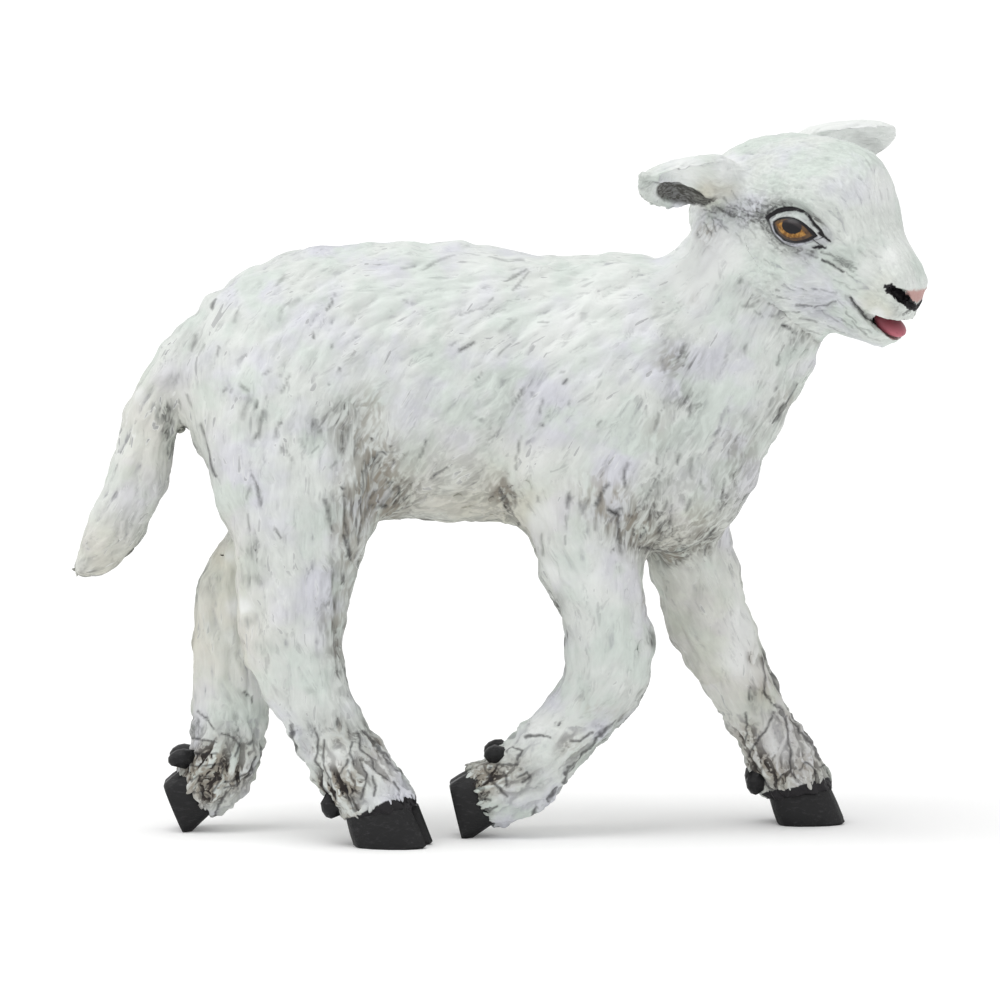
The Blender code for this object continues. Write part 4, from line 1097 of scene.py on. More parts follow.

# Washes of paint, with painted shade and painted light among them: where they lie in the picture (x, y, reach
# in pixels, strength)
washSpots = {
    # brown stains; the strong spot at the bottom of the chest, at (672, 554), is painted shadow
    "stain": [
        (372, 440, 20, .6), (380, 470, 22, .9), (366, 492, 24, 1), (390, 508, 15, 1), (350, 430, 18, .4),
        (370, 405, 16, .7), (352, 530, 17, 1), (350, 560, 12, .7), (345, 590, 10, .5), (336, 620, 12, .6),
        (340, 650, 12, .5), (405, 490, 22, .25), (470, 492, 30, .15), (500, 486, 14, .6), (507, 496, 10, 1),
        (668, 360, 14, .6), (655, 430, 16, .4), (600, 495, 22, .7), (615, 512, 18, 1), (640, 530, 20, .8),
        (672, 554, 10, 1), (700, 545, 20, .3), (740, 450, 26, .3), (790, 400, 12, .4), (706, 232, 10, .8),
        (712, 192, 12, .35), (690, 300, 14, .2), (700, 520, 20, .4),
    ],
    "umber": [
        (370, 757, 16, .45), (345, 777, 16, .6), (318, 752, 10, .5), (326, 780, 12, .9),
        (333, 797, 12, 1.3), (353, 786, 12, .8), (350, 812, 9, 1), (386, 778, 10, .4), (382, 742, 12, .6),
        (340, 735, 12, .5), (214, 752, 16, .7), (198, 772, 18, 1.2), (218, 778, 18, 1.1), (208, 792, 12, 1),
        (240, 775, 14, .7), (245, 750, 12, .4), (487, 775, 20, 1.1), (475, 790, 12, .8), (482, 812, 10, .6),
        (520, 772, 16, .4), (590, 705, 12, .4), (620, 715, 14, .4), (572, 748, 16, .4), (650, 600, 9, .7),
        (768, 690, 13, .8), (758, 656, 8, .9), (798, 735, 18, .4), (758, 764, 16, 1), (808, 768, 16, .8),
        (745, 735, 14, .8), (780, 778, 14, .9), (786, 716, 10, .4),
    ],
    # grey wash and painted shade
    "soot": [
        (350, 375, 20, .4), (348, 410, 16, .8), (328, 425, 16, .7), (352, 446, 16, .9), (374, 462, 12, .7),
        (258, 420, 12, .5), (245, 400, 9, .5), (250, 440, 9, .3), (250, 488, 8, .5), (254, 550, 12, .8),
        (250, 580, 10, .7), (246, 620, 8, .6), (362, 496, 24, .9), (392, 496, 16, .9), (350, 528, 16, .7),
        (334, 566, 14, .6), (330, 510, 20, .4), (395, 450, 16, .2), (300, 425, 16, .35), (440, 425, 50, .2),
        (405, 485, 22, .15), (500, 400, 30, .25), (522, 395, 20, .25), (495, 432, 12, .35),
        (508, 490, 10, .9), (655, 505, 20, .2), (690, 470, 20, .3), (592, 508, 14, .4), (615, 525, 20, .65),
        (642, 536, 24, .9), (673, 554, 12, 1.5), (706, 540, 12, .8), (640, 500, 30, .25),
        (560, 600, 10, .4), (562, 635, 9, 1.3), (652, 640, 8, 1.1), (540, 640, 10, .3), (232, 700, 14, .4),
        (338, 582, 9, 1), (333, 603, 12, .9), (331, 628, 12, 1), (334, 652, 11, 1), (340, 672, 10, .9),
        (346, 692, 10, .7), (350, 556, 8, .6), (316, 655, 6, .4), (262, 648, 8, .6), (311, 690, 6, .4),
        (338, 722, 14, .8), (360, 735, 12, .8), (312, 730, 12, .7), (150, 480, 18, .2), (118, 520, 18, .2),
        (164, 412, 12, 1.2), (169, 432, 9, 1.2), (172, 452, 7, 1), (172, 380, 8, .4), (212, 582, 16, .4),
        (212, 470, 10, .4), (190, 335, 14, .3), (195, 430, 10, .3), (196, 345, 8, .3), (640, 700, 14, .6),
        (622, 718, 12, .5), (600, 740, 12, .3), (580, 758, 10, .3), (528, 772, 14, .6), (540, 786, 10, .3),
        (684, 362, 22, .8), (664, 404, 14, .5), (690, 405, 14, .7), (660, 452, 12, .4), (662, 478, 13, .4),
        (690, 440, 12, .3), (728, 482, 14, .4), (735, 440, 14, .4), (765, 310, 18, .3), (748, 298, 14, .6),
        (735, 285, 10, .4), (772, 280, 10, .4), (715, 232, 8, .2), (712, 208, 8, .5), (685, 209, 6, .6),
        (646, 182, 9, .6), (762, 216, 14, .9), (782, 200, 16, .5), (812, 224, 14, .6), (780, 246, 12, .4),
        (806, 254, 14, .5), (745, 205, 14, .5), (742, 222, 10, .5), (838, 264, 9, .2), (897, 309, 8, .6),
        (724, 214, 12, .6), (815, 305, 16, .4), (796, 340, 16, .6), (735, 352, 14, .3), (775, 385, 16, .3),
        (775, 412, 14, .4), (738, 462, 18, .5), (724, 500, 12, .4), (525, 425, 18, .2), (474, 482, 14, .35),
        (845, 262, 16, .3), (740, 410, 14, .1), (845, 335, 20, .25), (755, 430, 14, .2), (192, 728, 12, .9),
        (236, 738, 14, .8), (282, 272, 22, .25), (436, 262, 12, .3), (516, 272, 12, .5), (660, 310, 10, .4),
        (85, 565, 12, .3), (112, 515, 30, .25), (138, 530, 12, .2), (760, 660, 8, .6), (765, 712, 12, .3),
        (752, 700, 10, .6), (700, 625, 8, .2), (171, 445, 6, .5), (445, 325, 14, .25), (370, 425, 14, .2),
        (440, 475, 16, .25), (672, 553, 8, .4), (705, 545, 10, .25), (642, 530, 8, .3), (260, 560, 8, .25),
        (337, 580, 8, .25), (335, 637, 7, .25), (245, 692, 10, .35), (200, 770, 9, .4), (206, 785, 9, .4),
        (350, 760, 8, .3), (356, 775, 7, .3), (300, 750, 8, .3), (765, 720, 9, .3), (762, 748, 9, .3),
        (755, 425, 9, .25), (680, 440, 24, .15), (667, 330, 10, .25), (830, 305, 9, .2), (787, 219, 7, .5),
        (555, 282, 18, .2), (690, 385, 20, .15), (185, 365, 18, .15), (530, 375, 14, .15),
    ],
    "cream": [
        (150, 430, 60, .6), (100, 550, 40, .7), (220, 640, 50, .8), (210, 560, 40, .8), (440, 500, 60, .4),
        (520, 505, 50, .5), (700, 600, 50, .3), (740, 690, 50, .3), (660, 540, 40, .4), (872, 302, 15, .6),
        (888, 312, 10, .6), (884, 280, 10, .4), (706, 192, 16, .9), (730, 190, 10, .5),
    ],
    # painted light: spots made lighter than the white paint
    "pale": [
        (700, 255, 26, 1), (690, 290, 22, .8), (732, 262, 20, .6), (715, 232, 14, .8), (535, 465, 24, .9),
        (538, 515, 20, .8), (548, 575, 14, .6), (592, 590, 36, .5), (744, 620, 20, .9), (738, 660, 20, .8),
        (660, 600, 10, .5), (580, 315, 46, .45), (560, 345, 30, .3), (640, 325, 16, .4), (610, 285, 30, .3),
        (480, 275, 50, .3), (330, 345, 40, .25), (240, 360, 20, .5), (216, 320, 14, .4), (243, 610, 12, .8),
        (250, 660, 10, .4), (256, 690, 14, .7), (230, 556, 8, .6), (320, 640, 26, .4), (245, 462, 18, .35),
        (140, 395, 9, .6), (120, 475, 30, .3), (95, 505, 14, .4), (684, 170, 18, .9), (732, 166, 12, .8),
        (660, 192, 8, .8), (880, 190, 24, .6), (888, 250, 16, .4), (862, 270, 12, .5), (822, 218, 8, .4),
        (915, 285, 10, .5), (877, 317, 9, 1), (755, 380, 10, .3), (500, 745, 12, .8), (545, 730, 18, .6),
        (570, 705, 14, .4), (222, 690, 12, .3), (190, 752, 9, .8), (334, 762, 12, .8), (243, 780, 12, 1),
        (192, 808, 14, 1), (384, 768, 12, .5), (770, 748, 12, .6), (806, 745, 10, .5), (476, 770, 8, .6),
        (390, 515, 10, .5), (442, 515, 26, .5), (304, 425, 8, .4), (335, 430, 7, .3), (330, 490, 14, .3),
        (340, 528, 12, .35), (184, 428, 8, .6), (618, 525, 12, .35), (234, 605, 12, .35),
        (234, 635, 10, .3), (547, 590, 8, .4), (530, 730, 16, .3), (575, 745, 14, .3), (545, 785, 20, .3),
        (600, 733, 10, .4), (803, 740, 10, .35), (738, 585, 14, .3), (893, 258, 10, .4), (512, 418, 8, .3),
        (395, 305, 30, .25), (365, 300, 12, .25), (260, 268, 30, .25), (410, 245, 40, .2),
        (325, 370, 14, .2), (530, 340, 16, .25), (600, 395, 25, .25), (720, 170, 14, .3), (165, 415, 8, .4),
        (95, 515, 12, .3), (820, 150, 12, .2),
    ],
}
# how far over each hoof the leg is painted black: place across the picture, reach
hoofTops = {
    "right_hind": ([350, 385], [0.45 * mm, 1.40 * mm]),
    "left_fore": ([760, 800], [1.05 * mm, 1.40 * mm]),
    "right_fore": ([450, 500], [0.35 * mm, 0.35 * mm]),
    "left_hind": ([160, 220], [0.35 * mm, 0.35 * mm]),
}


def washAt(name, x, y):
    total = np.zeros(len(x))
    for spotX, spotY, reach, strength in washSpots[name]:
        total += strength * np.exp(-((x - spotX) ** 2 + (y - spotY) ** 2) / reach ** 2)
    return np.clip(total, 0, 1)


washLook = {
    # what is added on the far legs, on the underside, and where the surface turns away, high and low; the grey
    # under the body and where the surface turns away is painted shade
    "farCream": 0.25,
    "underCream": 0.35,
    "underStain": 0.08,
    "underShade": 0.5,
    "turnedShade": 0.20,
    "lowShade": 0.25,
    "eyeRingShade": 0.4,                         # painted shade in a band round the eye
    "eyeRingShadeAt": 0.85 * mm,
    "eyeRingShadeSpread": 0.45 * mm,
}


def readWashes():
    # the head's far side is washed as the near one; what the photograph doesn't show is guessed
    look = washLook
    sideX, sideY = inPicture(nearSide(points))
    x, y = inPicture(points)
    x, y = np.where(isHead, sideX, x), np.where(isHead, sideY, y)
    washes = {name: washAt(name, x, y) for name in washSpots}
    farLeg = smoothStep(0.5 * mm, 2.5 * mm, points[:, 1]) * smoothStep(26 * mm, 20 * mm, points[:, 2])
    under = smoothStep(0.1, 0.8, -normals[:, 2]) * (points[:, 2] > 12 * mm) * isBody
    washes["cream"] = np.clip(washes["cream"] + look["farCream"] * farLeg + look["underCream"] * under, 0, 1)
    washes["stain"] = np.clip(washes["stain"] + look["underStain"] * under, 0, 1)
    # painted shade where the surface turns side-on, more of it low down, and under the body
    turned = smoothStep(0.45, 0.97, 1 - np.abs(normals[:, 1])) * ~isHead
    low = smoothStep(30 * mm, 22 * mm, points[:, 2])
    turnedShade = turned * (look["turnedShade"] + look["lowShade"] * low)
    washes["soot"] = np.clip(washes["soot"] + turnedShade + look["underShade"] * under, 0, 1)
    # painted shade in a band round the eye
    washes["soot"] += look["eyeRingShade"] * hump(eyeReach, look["eyeRingShadeAt"], look["eyeRingShadeSpread"])
    # painted light: the far ear is made lighter all over, and the painted light takes the grey away
    washes["pale"] = np.maximum(washes["pale"], 1.0 * (label == labelOf["left_ear"]))
    washes["soot"] -= washes["pale"] * (1 - washes["soot"])
    return washes


grainLook = {
    "directions": 6,
    "turn": 30,                             # degrees from one direction to the next
    "jitter": 9,                            # degrees, and over how many steps of the skin
    "jitterSteps": 10,
}


def grainShares():
    # which of the directions the brush follows at each point
    look = grainLook
    jitter = spread(random.normal(0, 1, len(points)), skinEdges, look["jitterSteps"])
    jitter *= math.radians(look["jitter"]) / jitter.std()
    angle = np.arctan2(ways[:, 2], ways[:, 0]) + jitter
    step = np.round(angle / math.radians(look["turn"])).astype(int) % look["directions"]
    shares = np.zeros((len(points), look["directions"]))
    shares[np.arange(len(points)), step] = 1
    return shares


hoofTopLook = {
    "reach": 2.2 * mm,                      # how far over a hoof its paint and the hair may go
    "ink": 1.4,
}


def aboveHooves():
    # where the leg is black over a hoof, and where hair hangs down to that edge
    black, hair = np.zeros(len(points)), np.zeros(len(points))
    flat = smoothStep(0.75, 0.45, -normals[:, 2])
    x = inPicture(points)[0]
    for node in hoofNodes:
        if "dewclaw" in node:
            continue
        tree = treeOf(node)
        tops = hoofTops["_".join(node.split("_")[:2])]
        for i in np.flatnonzero(isFoot):
            spot, _, _, away = tree.find_nearest(points[i], hoofTopLook["reach"])
            if spot is None:
                continue
            gap = away - np.interp(x[i], *tops)
            black[i] = max(black[i], smoothStep(0.06 * mm, -0.06 * mm, gap))
            down = (np.array(spot) - points[i]) @ ways[i] / max(away, 0.01 * mm)
            near = smoothStep(0.05 * mm, 0.20 * mm, gap) * smoothStep(0.85 * mm, 0.60 * mm, gap)
            hair[i] = max(hair[i], near * smoothStep(0.1, 0.5, down) * flat[i])
    return black, hair


fringeLook = {"all": 0.5, "tail": 0.3}


def fringes():
    # where raised locks grow sparsely and break the outline of the coat
    turned = smoothStep(0.45, 0.9, 1 - np.abs(normals[:, 1])) * isBody
    legs = turned * (points[:, 2] < 30 * mm)
    breast = smoothStep(0.2, 0.7, normals[:, 0]) * (points[:, 0] > 10 * mm) * isBody
    belly = smoothStep(0.2, 0.7, -normals[:, 2]) * (points[:, 2] > 24 * mm) * isBody
    tail = fringeLook["tail"] * (label == labelOf["tail"])
    return np.clip(fringeLook["all"] * np.maximum.reduce([legs, breast, belly, tail]), 0, 1)


cutLook = {
    # how many of the thin dark cuts each area has
    "face": 0.10,
    "throat": 0.50,                         # more on the throat, round this place in the picture
    "throatSpot": (790, 318, 42),
    "ear": 0.05,
    "tail": 0.8,
    "body": 0.62,
    "fewerOnLegs": 0.15,
    "foot": 0.3,
}


def cutAmount():
    look = cutLook
    x, y = inPicture(nearSide(points))
    middleX, middleY, reach = look["throatSpot"]
    face = look["face"] + look["throat"] * np.exp(-((x - middleX) ** 2 + (y - middleY) ** 2) / reach ** 2)
    face = np.where(label == labelOf["head"], face, look["ear"])
    legs = smoothStep(30 * mm, 24 * mm, points[:, 2])
    body = np.where(label == labelOf["tail"], look["tail"], look["body"] - look["fewerOnLegs"] * legs)
    return np.where(isHead, face, np.where(isFoot, look["foot"], body))


washes = readWashes()
hoofBlack, coronetFringe = aboveHooves()
ink = np.maximum(ink, hoofTopLook["ink"] * hoofBlack)
coatFringe = fringes()
crevice = 1 - np.clip(lockShare, 0, 1)
grains = grainShares()
skinPaint = {
    "washes": np.stack([washes["stain"], washes["umber"], washes["cream"]], axis=1),
    "marks": np.stack([crevice, ink, pink], axis=1),
    "shade": np.stack([washes["soot"], np.clip(cutShare, 0, 1), earDark], axis=1),
    "grainLow": grains[:, :3],
    "grainHigh": grains[:, 3:],
    "eyePlace": eyePlaces / mm,
    "amounts": np.stack([cutAmount(), isFoot * 1.0, isHead * 1.0], axis=1),
    "way": ways,
    "upright": normals,
    "fringe": np.stack([coronetFringe, coatFringe, np.zeros(len(points))], axis=1),
}
print("paint laid out")


# The skin is parted into one closed piece for each CAD node
def polygonTables(mesh):
    starts = np.empty(len(mesh.polygons), np.int32)
    totals = np.empty(len(mesh.polygons), np.int32)
    corners = np.empty(len(mesh.loops), np.int32)
    mesh.polygons.foreach_get("loop_start", starts)
    mesh.polygons.foreach_get("loop_total", totals)
    mesh.loops.foreach_get("vertex_index", corners)
    return starts, totals, corners


def meshFrom(name, spots, corners, totals):
    mesh = bpy.data.meshes.new(name)
    mesh.vertices.add(len(spots))
    movePoints(mesh, spots)
    mesh.loops.add(len(corners))
    mesh.loops.foreach_set("vertex_index", corners.astype(np.int32))
    mesh.polygons.add(len(totals))
    mesh.polygons.foreach_set("loop_start", np.concatenate([[0], np.cumsum(totals)[:-1]]).astype(np.int32))
    mesh.update(calc_edges=True)
    return mesh


def triangleCount(mesh):
    return len(mesh.loops) - 2 * len(mesh.polygons)


def partSkin():
    mesh = skin.data
    starts, totals, corners = polygonTables(mesh)
    owner = np.repeat(np.arange(len(starts)), totals)
    gaps = readGaps()
    mean = np.stack([np.bincount(owner, gaps[corners, k], len(starts)) for k in range(gaps.shape[1])], axis=1)
    faceLabel = mean.argmin(axis=1)
    following = np.arange(len(corners)) + 1
    following[starts + totals - 1] = starts
    pieces = {}
    for k, node in enumerate(castingLook["pieces"]):
        mine = faceLabel[owner] == k
        used, local = np.unique(corners[mine], return_inverse=True)
        count = len(used)
        renumber = np.full(len(points), -1)
        renumber[used] = np.arange(count)
        first, second = renumber[corners[mine]], renumber[corners[following[mine]]]
        back = np.isin(second * count + first, first * count + second)
        rim = np.stack([first[~back], second[~back]], axis=1)
        loops = islands(count, rim)
        which = np.unique(loops[rim[:, 0]], return_inverse=True)[1]
        rimPoints = hairPoints[used][rim[:, 0]]
        middles = np.stack([np.bincount(which, rimPoints[:, axis]) for axis in range(3)], axis=1)
        middles /= np.bincount(which)[:, None]
        fans = np.stack([rim[:, 1], rim[:, 0], count + which], axis=1)
        spots = np.concatenate([hairPoints[used], middles])
        piece = meshFrom(node + "Skin", spots, np.concatenate([local, fans.ravel()]),
                         np.concatenate([totals[faceLabel == k], np.full(len(fans), 3)]))
        for name, values in skinPaint.items():
            writeVectors(piece, name, np.concatenate([values[used], np.zeros((len(middles), 3))]))
        shading = np.concatenate([hairNormals[used], np.tile([0.0, 0.0, 1.0], (len(middles), 1))])
        writeVectors(piece, "shading", shading)
        pieces[node] = linked(node + "Skin", piece)
    return pieces


skinPieces = partSkin()
bpy.data.objects.remove(skin)
print("skin parted:", {node: triangleCount(piece.data) for node, piece in skinPieces.items()})


# Paint shaders
paintLook = {
    "white": "#e2e6e2",
    "lavender": "#dcdde4",
    "green": "#dae2dc",
    "cutGrey": "#63636a",
    # grey wash and painted shade in the hollows
    "hollowGrey": "#9c9ca8",
    "stainBrown": "#958d80",
    "umber": "#2b2522",
    "cream": "#dfdccd",
    "ink": "#1f1d20",
    "rose": "#c08a84",
    "lidGrey": "#c6c6d2",
    # grey for the grey wash and the painted shade
    "soot": "#858985",
    "hatch": "#4c4a49",
    # the lit white of the painted light and of the painted highlights
    "lit": "#f2f4f2",
    # painted shade in the ears
    "earDark": "#4a4945",
    "horn": "#0d0d0f",
    "hornDust": "#48474a",
    "amber": "#b98a4a",
    "amberDark": "#7d5526",
    "ring": "#3a3436",
    "tongue": "#bb6673",
    # darker tongue, also its painted shadow
    "tongueDark": "#8d4550",
}
colours = {name: toLinear(code) for name, code in paintLook.items()}
white = (1, 1, 1, 1)


def newPaint(name):
    paint = bpy.data.materials.new(name)
    paint.use_nodes = True
    tree = paint.node_tree
    tree.nodes.clear()
    return paint, tree


def finishPaint(tree, colour, roughness, shine, **more):
    finish = addNode(tree, "ShaderNodeBsdfPrincipled", Base_Color=colour, Roughness=roughness,
                     Specular_IOR_Level=shine, **more)
    addNode(tree, "ShaderNodeOutputMaterial", Surface=finish.outputs[0])


def attributeOf(tree, name):
    return Signal(tree, addNode(tree, "ShaderNodeAttribute", {"attribute_name": name}).outputs["Vector"])


def placeInMm(tree):
    here = addNode(tree, "ShaderNodeTexCoord").outputs["Object"]
    return Signal(tree, addNode(tree, "ShaderNodeVectorMath", {"operation": "SCALE"}, Vector=here,
                                Scale=1 / mm).outputs[0])


def noiseOf(place, size, detail=2.0, **more):
    settings = {"noise_dimensions": "4D"} if "W" in more else {}
    node = addNode(place.tree, "ShaderNodeTexNoise", settings, Vector=place, Scale=1 / size, Detail=detail,
                   **more)
    return Signal(place.tree, node.outputs[0])


def vectorMath(tree, operation, first, second):
    return addNode(tree, "ShaderNodeVectorMath", {"operation": operation}, i0=first, i1=second).outputs[0]


def makeStrandGroup():
    # a noise drawn out along the hair, in six directions that each show where their share is one
    tree = bpy.data.node_groups.new("strands", "ShaderNodeTree")
    tree.interface.new_socket("Strand", in_out="OUTPUT", socket_type="NodeSocketFloat")
    for name in ("Across", "Along", "Detail", "Shift"):
        tree.interface.new_socket(name, in_out="INPUT", socket_type="NodeSocketFloat")
    given = addNode(tree, "NodeGroupInput").outputs
    thin = mathOf(tree, "DIVIDE", 1.0, given["Across"])
    drawn = mathOf(tree, "DIVIDE", 1.0, given["Along"])
    stretch = addNode(tree, "ShaderNodeCombineXYZ", X=drawn, Y=thin, Z=thin).outputs[0]
    moved = vectorMath(tree, "ADD", placeInMm(tree), given["Shift"])
    total = None
    shares = attributeOf(tree, "grainLow").split() + attributeOf(tree, "grainHigh").split()
    for k, share in enumerate(shares):
        turned = addNode(tree, "ShaderNodeVectorRotate", {"rotation_type": "Y_AXIS"}, Vector=moved,
                         Angle=math.radians(grainLook["turn"] * k)).outputs[0]
        drawnOut = Signal(tree, vectorMath(tree, "MULTIPLY", turned, stretch))
        noise = noiseOf(drawnOut, 1.0, given["Detail"], Roughness=0.55)
        total = noise * share if total is None else noise.scaled(share, total)
    addNode(tree, "NodeGroupOutput", Strand=total)
    return tree


strandGroup = makeStrandGroup()
strandLook = {
    # width and length of a stroke in mm, detail, shift
    "fine": (0.20, 1.3, 2.0, 0.0),
    "broad": (0.55, 2.2, 2.0, 31.0),
    "thin": (0.34, 3.4, 0.0, 77.0),
    "wide": (0.62, 3.6, 1.0, 11.0),
    "curl": (0.30, 1.25, 1.0, 19.0),
    "ropes": (0.42, 2.6, 1.0, 55.0),
}


def strandsOf(tree):
    strands = {}
    for name, (across, along, detail, shift) in strandLook.items():
        node = addNode(tree, "ShaderNodeGroup", {"node_tree": strandGroup}, Across=across, Along=along,
                       Detail=detail, Shift=shift)
        strands[name] = Signal(tree, node.outputs[0])
    return strands


def almondOf(place):
    # distance outside the eye's opening in mm
    x, _, z = place
    reaches = []
    for radius, middle in almondArcs(eyeLook):
        lifted = z - middle / mm
        reaches.append(x.scaled(x, lifted * lifted).by("SQRT") - radius / mm)
    return reaches[0].by("MAXIMUM", reaches[1])


fleeceLook = {
    "faceShade": (0.93, 0.945, 0.93, 1),    # multiplies the colour of the head: painted shade
    "hollow": 0.42,                         # share of grey in the hollows between locks: grey wash and painted shade
    "rim": 0.6,                             # painted highlight on the edge of a cut
    "cut": 0.7,
    "lidSmudge": 0.75,
    "bump": {"Strength": 0.45, "Distance": 0.1 * mm},
}


def coatColour(place, strands, clouds, crevice, cream, onHead):
    # white with lavender, green and cream clouds, and soft grey between the locks, which is grey wash and
    # painted shade; the head and the lower parts get painted shade too
    cloud, cloudTwo = clouds
    fine, broad, curl = strands["fine"], strands["broad"], strands["curl"]
    colour = cloud.span(0.42, 0.66).between(colours["white"], colours["lavender"])
    colour = colour.mixed(cloudTwo.span(0.46, 0.64), colours["green"])
    colour = colour.mixed(cream * cloud.span(0.3, 0.6, 0.35, 1.0), colours["cream"])
    # painted shade: the head a little darker
    colour = colour.mixed(onHead * 0.5, fleeceLook["faceShade"], "MULTIPLY")
    colour = colour.mixed(1.0, onHead.between(white, curl.span(0.34, 0.62, 0.935, 1.03)), "MULTIPLY")
    # grey in the hollows: grey wash and painted shade
    hollow = crevice.span(0.45, 1.0) * broad.span(0.35, 0.62, 1.0, 0.2)
    colour = colour.mixed(hollow * fleeceLook["hollow"], colours["hollowGrey"])
    shades = [
        fine.span(0.30, 0.66, 0.972, 1.012),
        broad.span(0.32, 0.66, 0.962, 1.012),
        noiseOf(place, 1.7, 3.0).span(0.36, 0.60, 0.955, 1.01),
        # darker toward the bottom: painted shade
        place.split()[2].span(44.0, 24.0, 1.0, 0.967),
    ]
    for shade in shades:
        colour = colour.mixed(1.0, shade, "MULTIPLY")
    return colour


def addCuts(colour, strands, clouds, groove, cutShare):
    # soft smudges, then dark thin cuts with a painted highlight on their rims, here and there
    cloud, cloudTwo = clouds
    thin, fine = strands["thin"], strands["fine"]
    smudges = strands["wide"].span(0.36, 0.25) * cloud.span(0.58, 0.44, 0.05, 0.42)
    colour = colour.mixed(smudges * cutShare, colours["cutGrey"])
    gathered = cloudTwo.span(0.55, 0.44, 0.12, 0.95)
    # painted highlight along the rims of the cuts
    colour = colour.mixed(thin.span(0.34, 0.30) * (gathered * cutShare * fleeceLook["rim"]), colours["lit"])
    cuts = thin.span(0.285, 0.225) * gathered * fleeceLook["cut"] * cutShare
    cuts = cuts.by("MAXIMUM", groove * fine.span(0.56, 0.40, 0.0, 0.22))
    return colour.mixed(cuts, colours["cutGrey"]), cuts


def addWashes(colour, strands, crevice, soot, stain, umber):
    # thin paint that ran between the locks: dark hatching where the grey wash and painted shade are strong,
    # brown stains, umber soaked in
    fine, broad, ropes = strands["fine"], strands["broad"], strands["ropes"]
    hatch = soot.span(0.30, 0.90) * ropes.span(0.52, 0.38, 0.0, 0.75) * fine.span(0.62, 0.40, 0.4, 1.0)
    colour = colour.mixed(hatch, colours["hatch"])
    colour = colour.mixed(stain * broad.span(0.60, 0.40).scaled(0.65, crevice * 0.4), colours["stainBrown"])
    washed = umber * crevice.scaled(0.3, broad).span(0.42, 0.70, 0.0, 0.9)
    colour = colour.mixed(washed, colours["stainBrown"])
    streak = crevice + ropes.span(0.62, 0.38, -0.22, 0.22) + fine.span(0.64, 0.38, -0.10, 0.10)
    return colour.mixed(umber * streak.span(0.46, 0.86), colours["umber"])


def addLids(colour, eyePlace, unsure):
    # a pale band round the eye, and the dark outlines inside and outside of it
    below, above, inward = (eyeLook[name] / mm for name in ("creaseBelow", "creaseAbove", "creaseIn"))
    reach = almondOf(eyePlace) + unsure.scaled(0.16, -0.08)
    lowerHalf = eyePlace[2].span(0.2, -0.5)
    outline = lowerHalf.scaled(below - above, above) + eyePlace[0].span(0.1, 1.6, 0.0, -inward)
    lids = (reach - outline).span(0.05, -0.10) * lowerHalf.span(0, 1, 0.15, 0.75)
    smudge = unsure.span(0.52, 0.38) * (lowerHalf * fleeceLook["lidSmudge"])
    colour = colour.mixed(lids, smudge.between(colours["lidGrey"], colours["cutGrey"]))
    inner = reach.span(lowerHalf.scaled(0.18, 0.16), lowerHalf.scaled(0.10, 0.06))
    half = eyePlace[0].span(-1.6, 1.2, 0.04, -0.065) + lowerHalf.scaled(-0.09, 0.150)
    outer = ((reach - outline).by("ABSOLUTE") - half).span(0.045, -0.045)
    outer = outer * unsure.span(0.25, 0.45, 0.55, 1.0) * lowerHalf.span(0, 1, 1.0, 0.78)
    return colour, inner.by("MAXIMUM", outer)


def makeFleecePaint():
    # matt white paint on vinyl, with grey in the hollows, brown washes, and the drawn lines of the face
    paint, tree = newPaint("mattWhitePaint")
    place = placeInMm(tree)
    stain, umber, cream = attributeOf(tree, "washes").split()
    crevice, ink, pink = attributeOf(tree, "marks").split()
    soot, groove, earDark = attributeOf(tree, "shade").split()
    cutShare, _, onHead = attributeOf(tree, "amounts").split()
    strands = strandsOf(tree)
    fine, broad = strands["fine"], strands["broad"]
    clouds = noiseOf(place, 5.0, 3.0), noiseOf(place, 1 / 0.33, 3.0, W=4.0)
    colour = coatColour(place, strands, clouds, crevice, cream, onHead)
    patches = broad.span(0.60, 0.36, 0.25, 0.80) + crevice * 0.25
    # grey wash and painted shade, in patches
    colour = colour.mixed(soot.by("MAXIMUM", 0.0) * patches, colours["soot"])
    # painted light: where the grey value is below nought the paint goes toward the lit white
    colour = colour.mixed(soot.span(0.0, -0.8, 0.0, 0.75), colours["lit"])
    colour, cuts = addCuts(colour, strands, clouds, groove, cutShare)
    # darkest in the deepest hollows: grey wash and painted shade
    deep = crevice.span(0.74, 0.96) * clouds[1].span(0.56, 0.42, 0.10, 0.60)
    colour = colour.mixed(deep * cutShare, colours["cutGrey"])
    colour = addWashes(colour, strands, crevice, soot, stain, umber)
    # painted shade in the ears
    colour = colour.mixed(earDark * fine.span(0.66, 0.36, 0.78, 1.0), colours["earDark"])
    colour = colour.mixed(pink.by("MINIMUM", 1.0), colours["rose"])
    unsure = noiseOf(place, 0.55, 2.0)
    colour, lines = addLids(colour, attributeOf(tree, "eyePlace").split(), unsure)
    lines = lines.by("MAXIMUM", ink * unsure.span(0.25, 0.5, 0.7, 1.0))
    colour = colour.mixed(lines, colours["ink"])
    height = fine.scaled(0.45, broad) + cuts * -1.0 + strands["wide"].span(0.30, 0.55) * 0.5
    height = height + strands["curl"] * onHead
    bump = addNode(tree, "ShaderNodeBump", Height=height, **fleeceLook["bump"])
    finishPaint(tree, colour, lines.span(0, 1, 0.62, 0.45), 0.28, Normal=bump.outputs[0])
    return paint


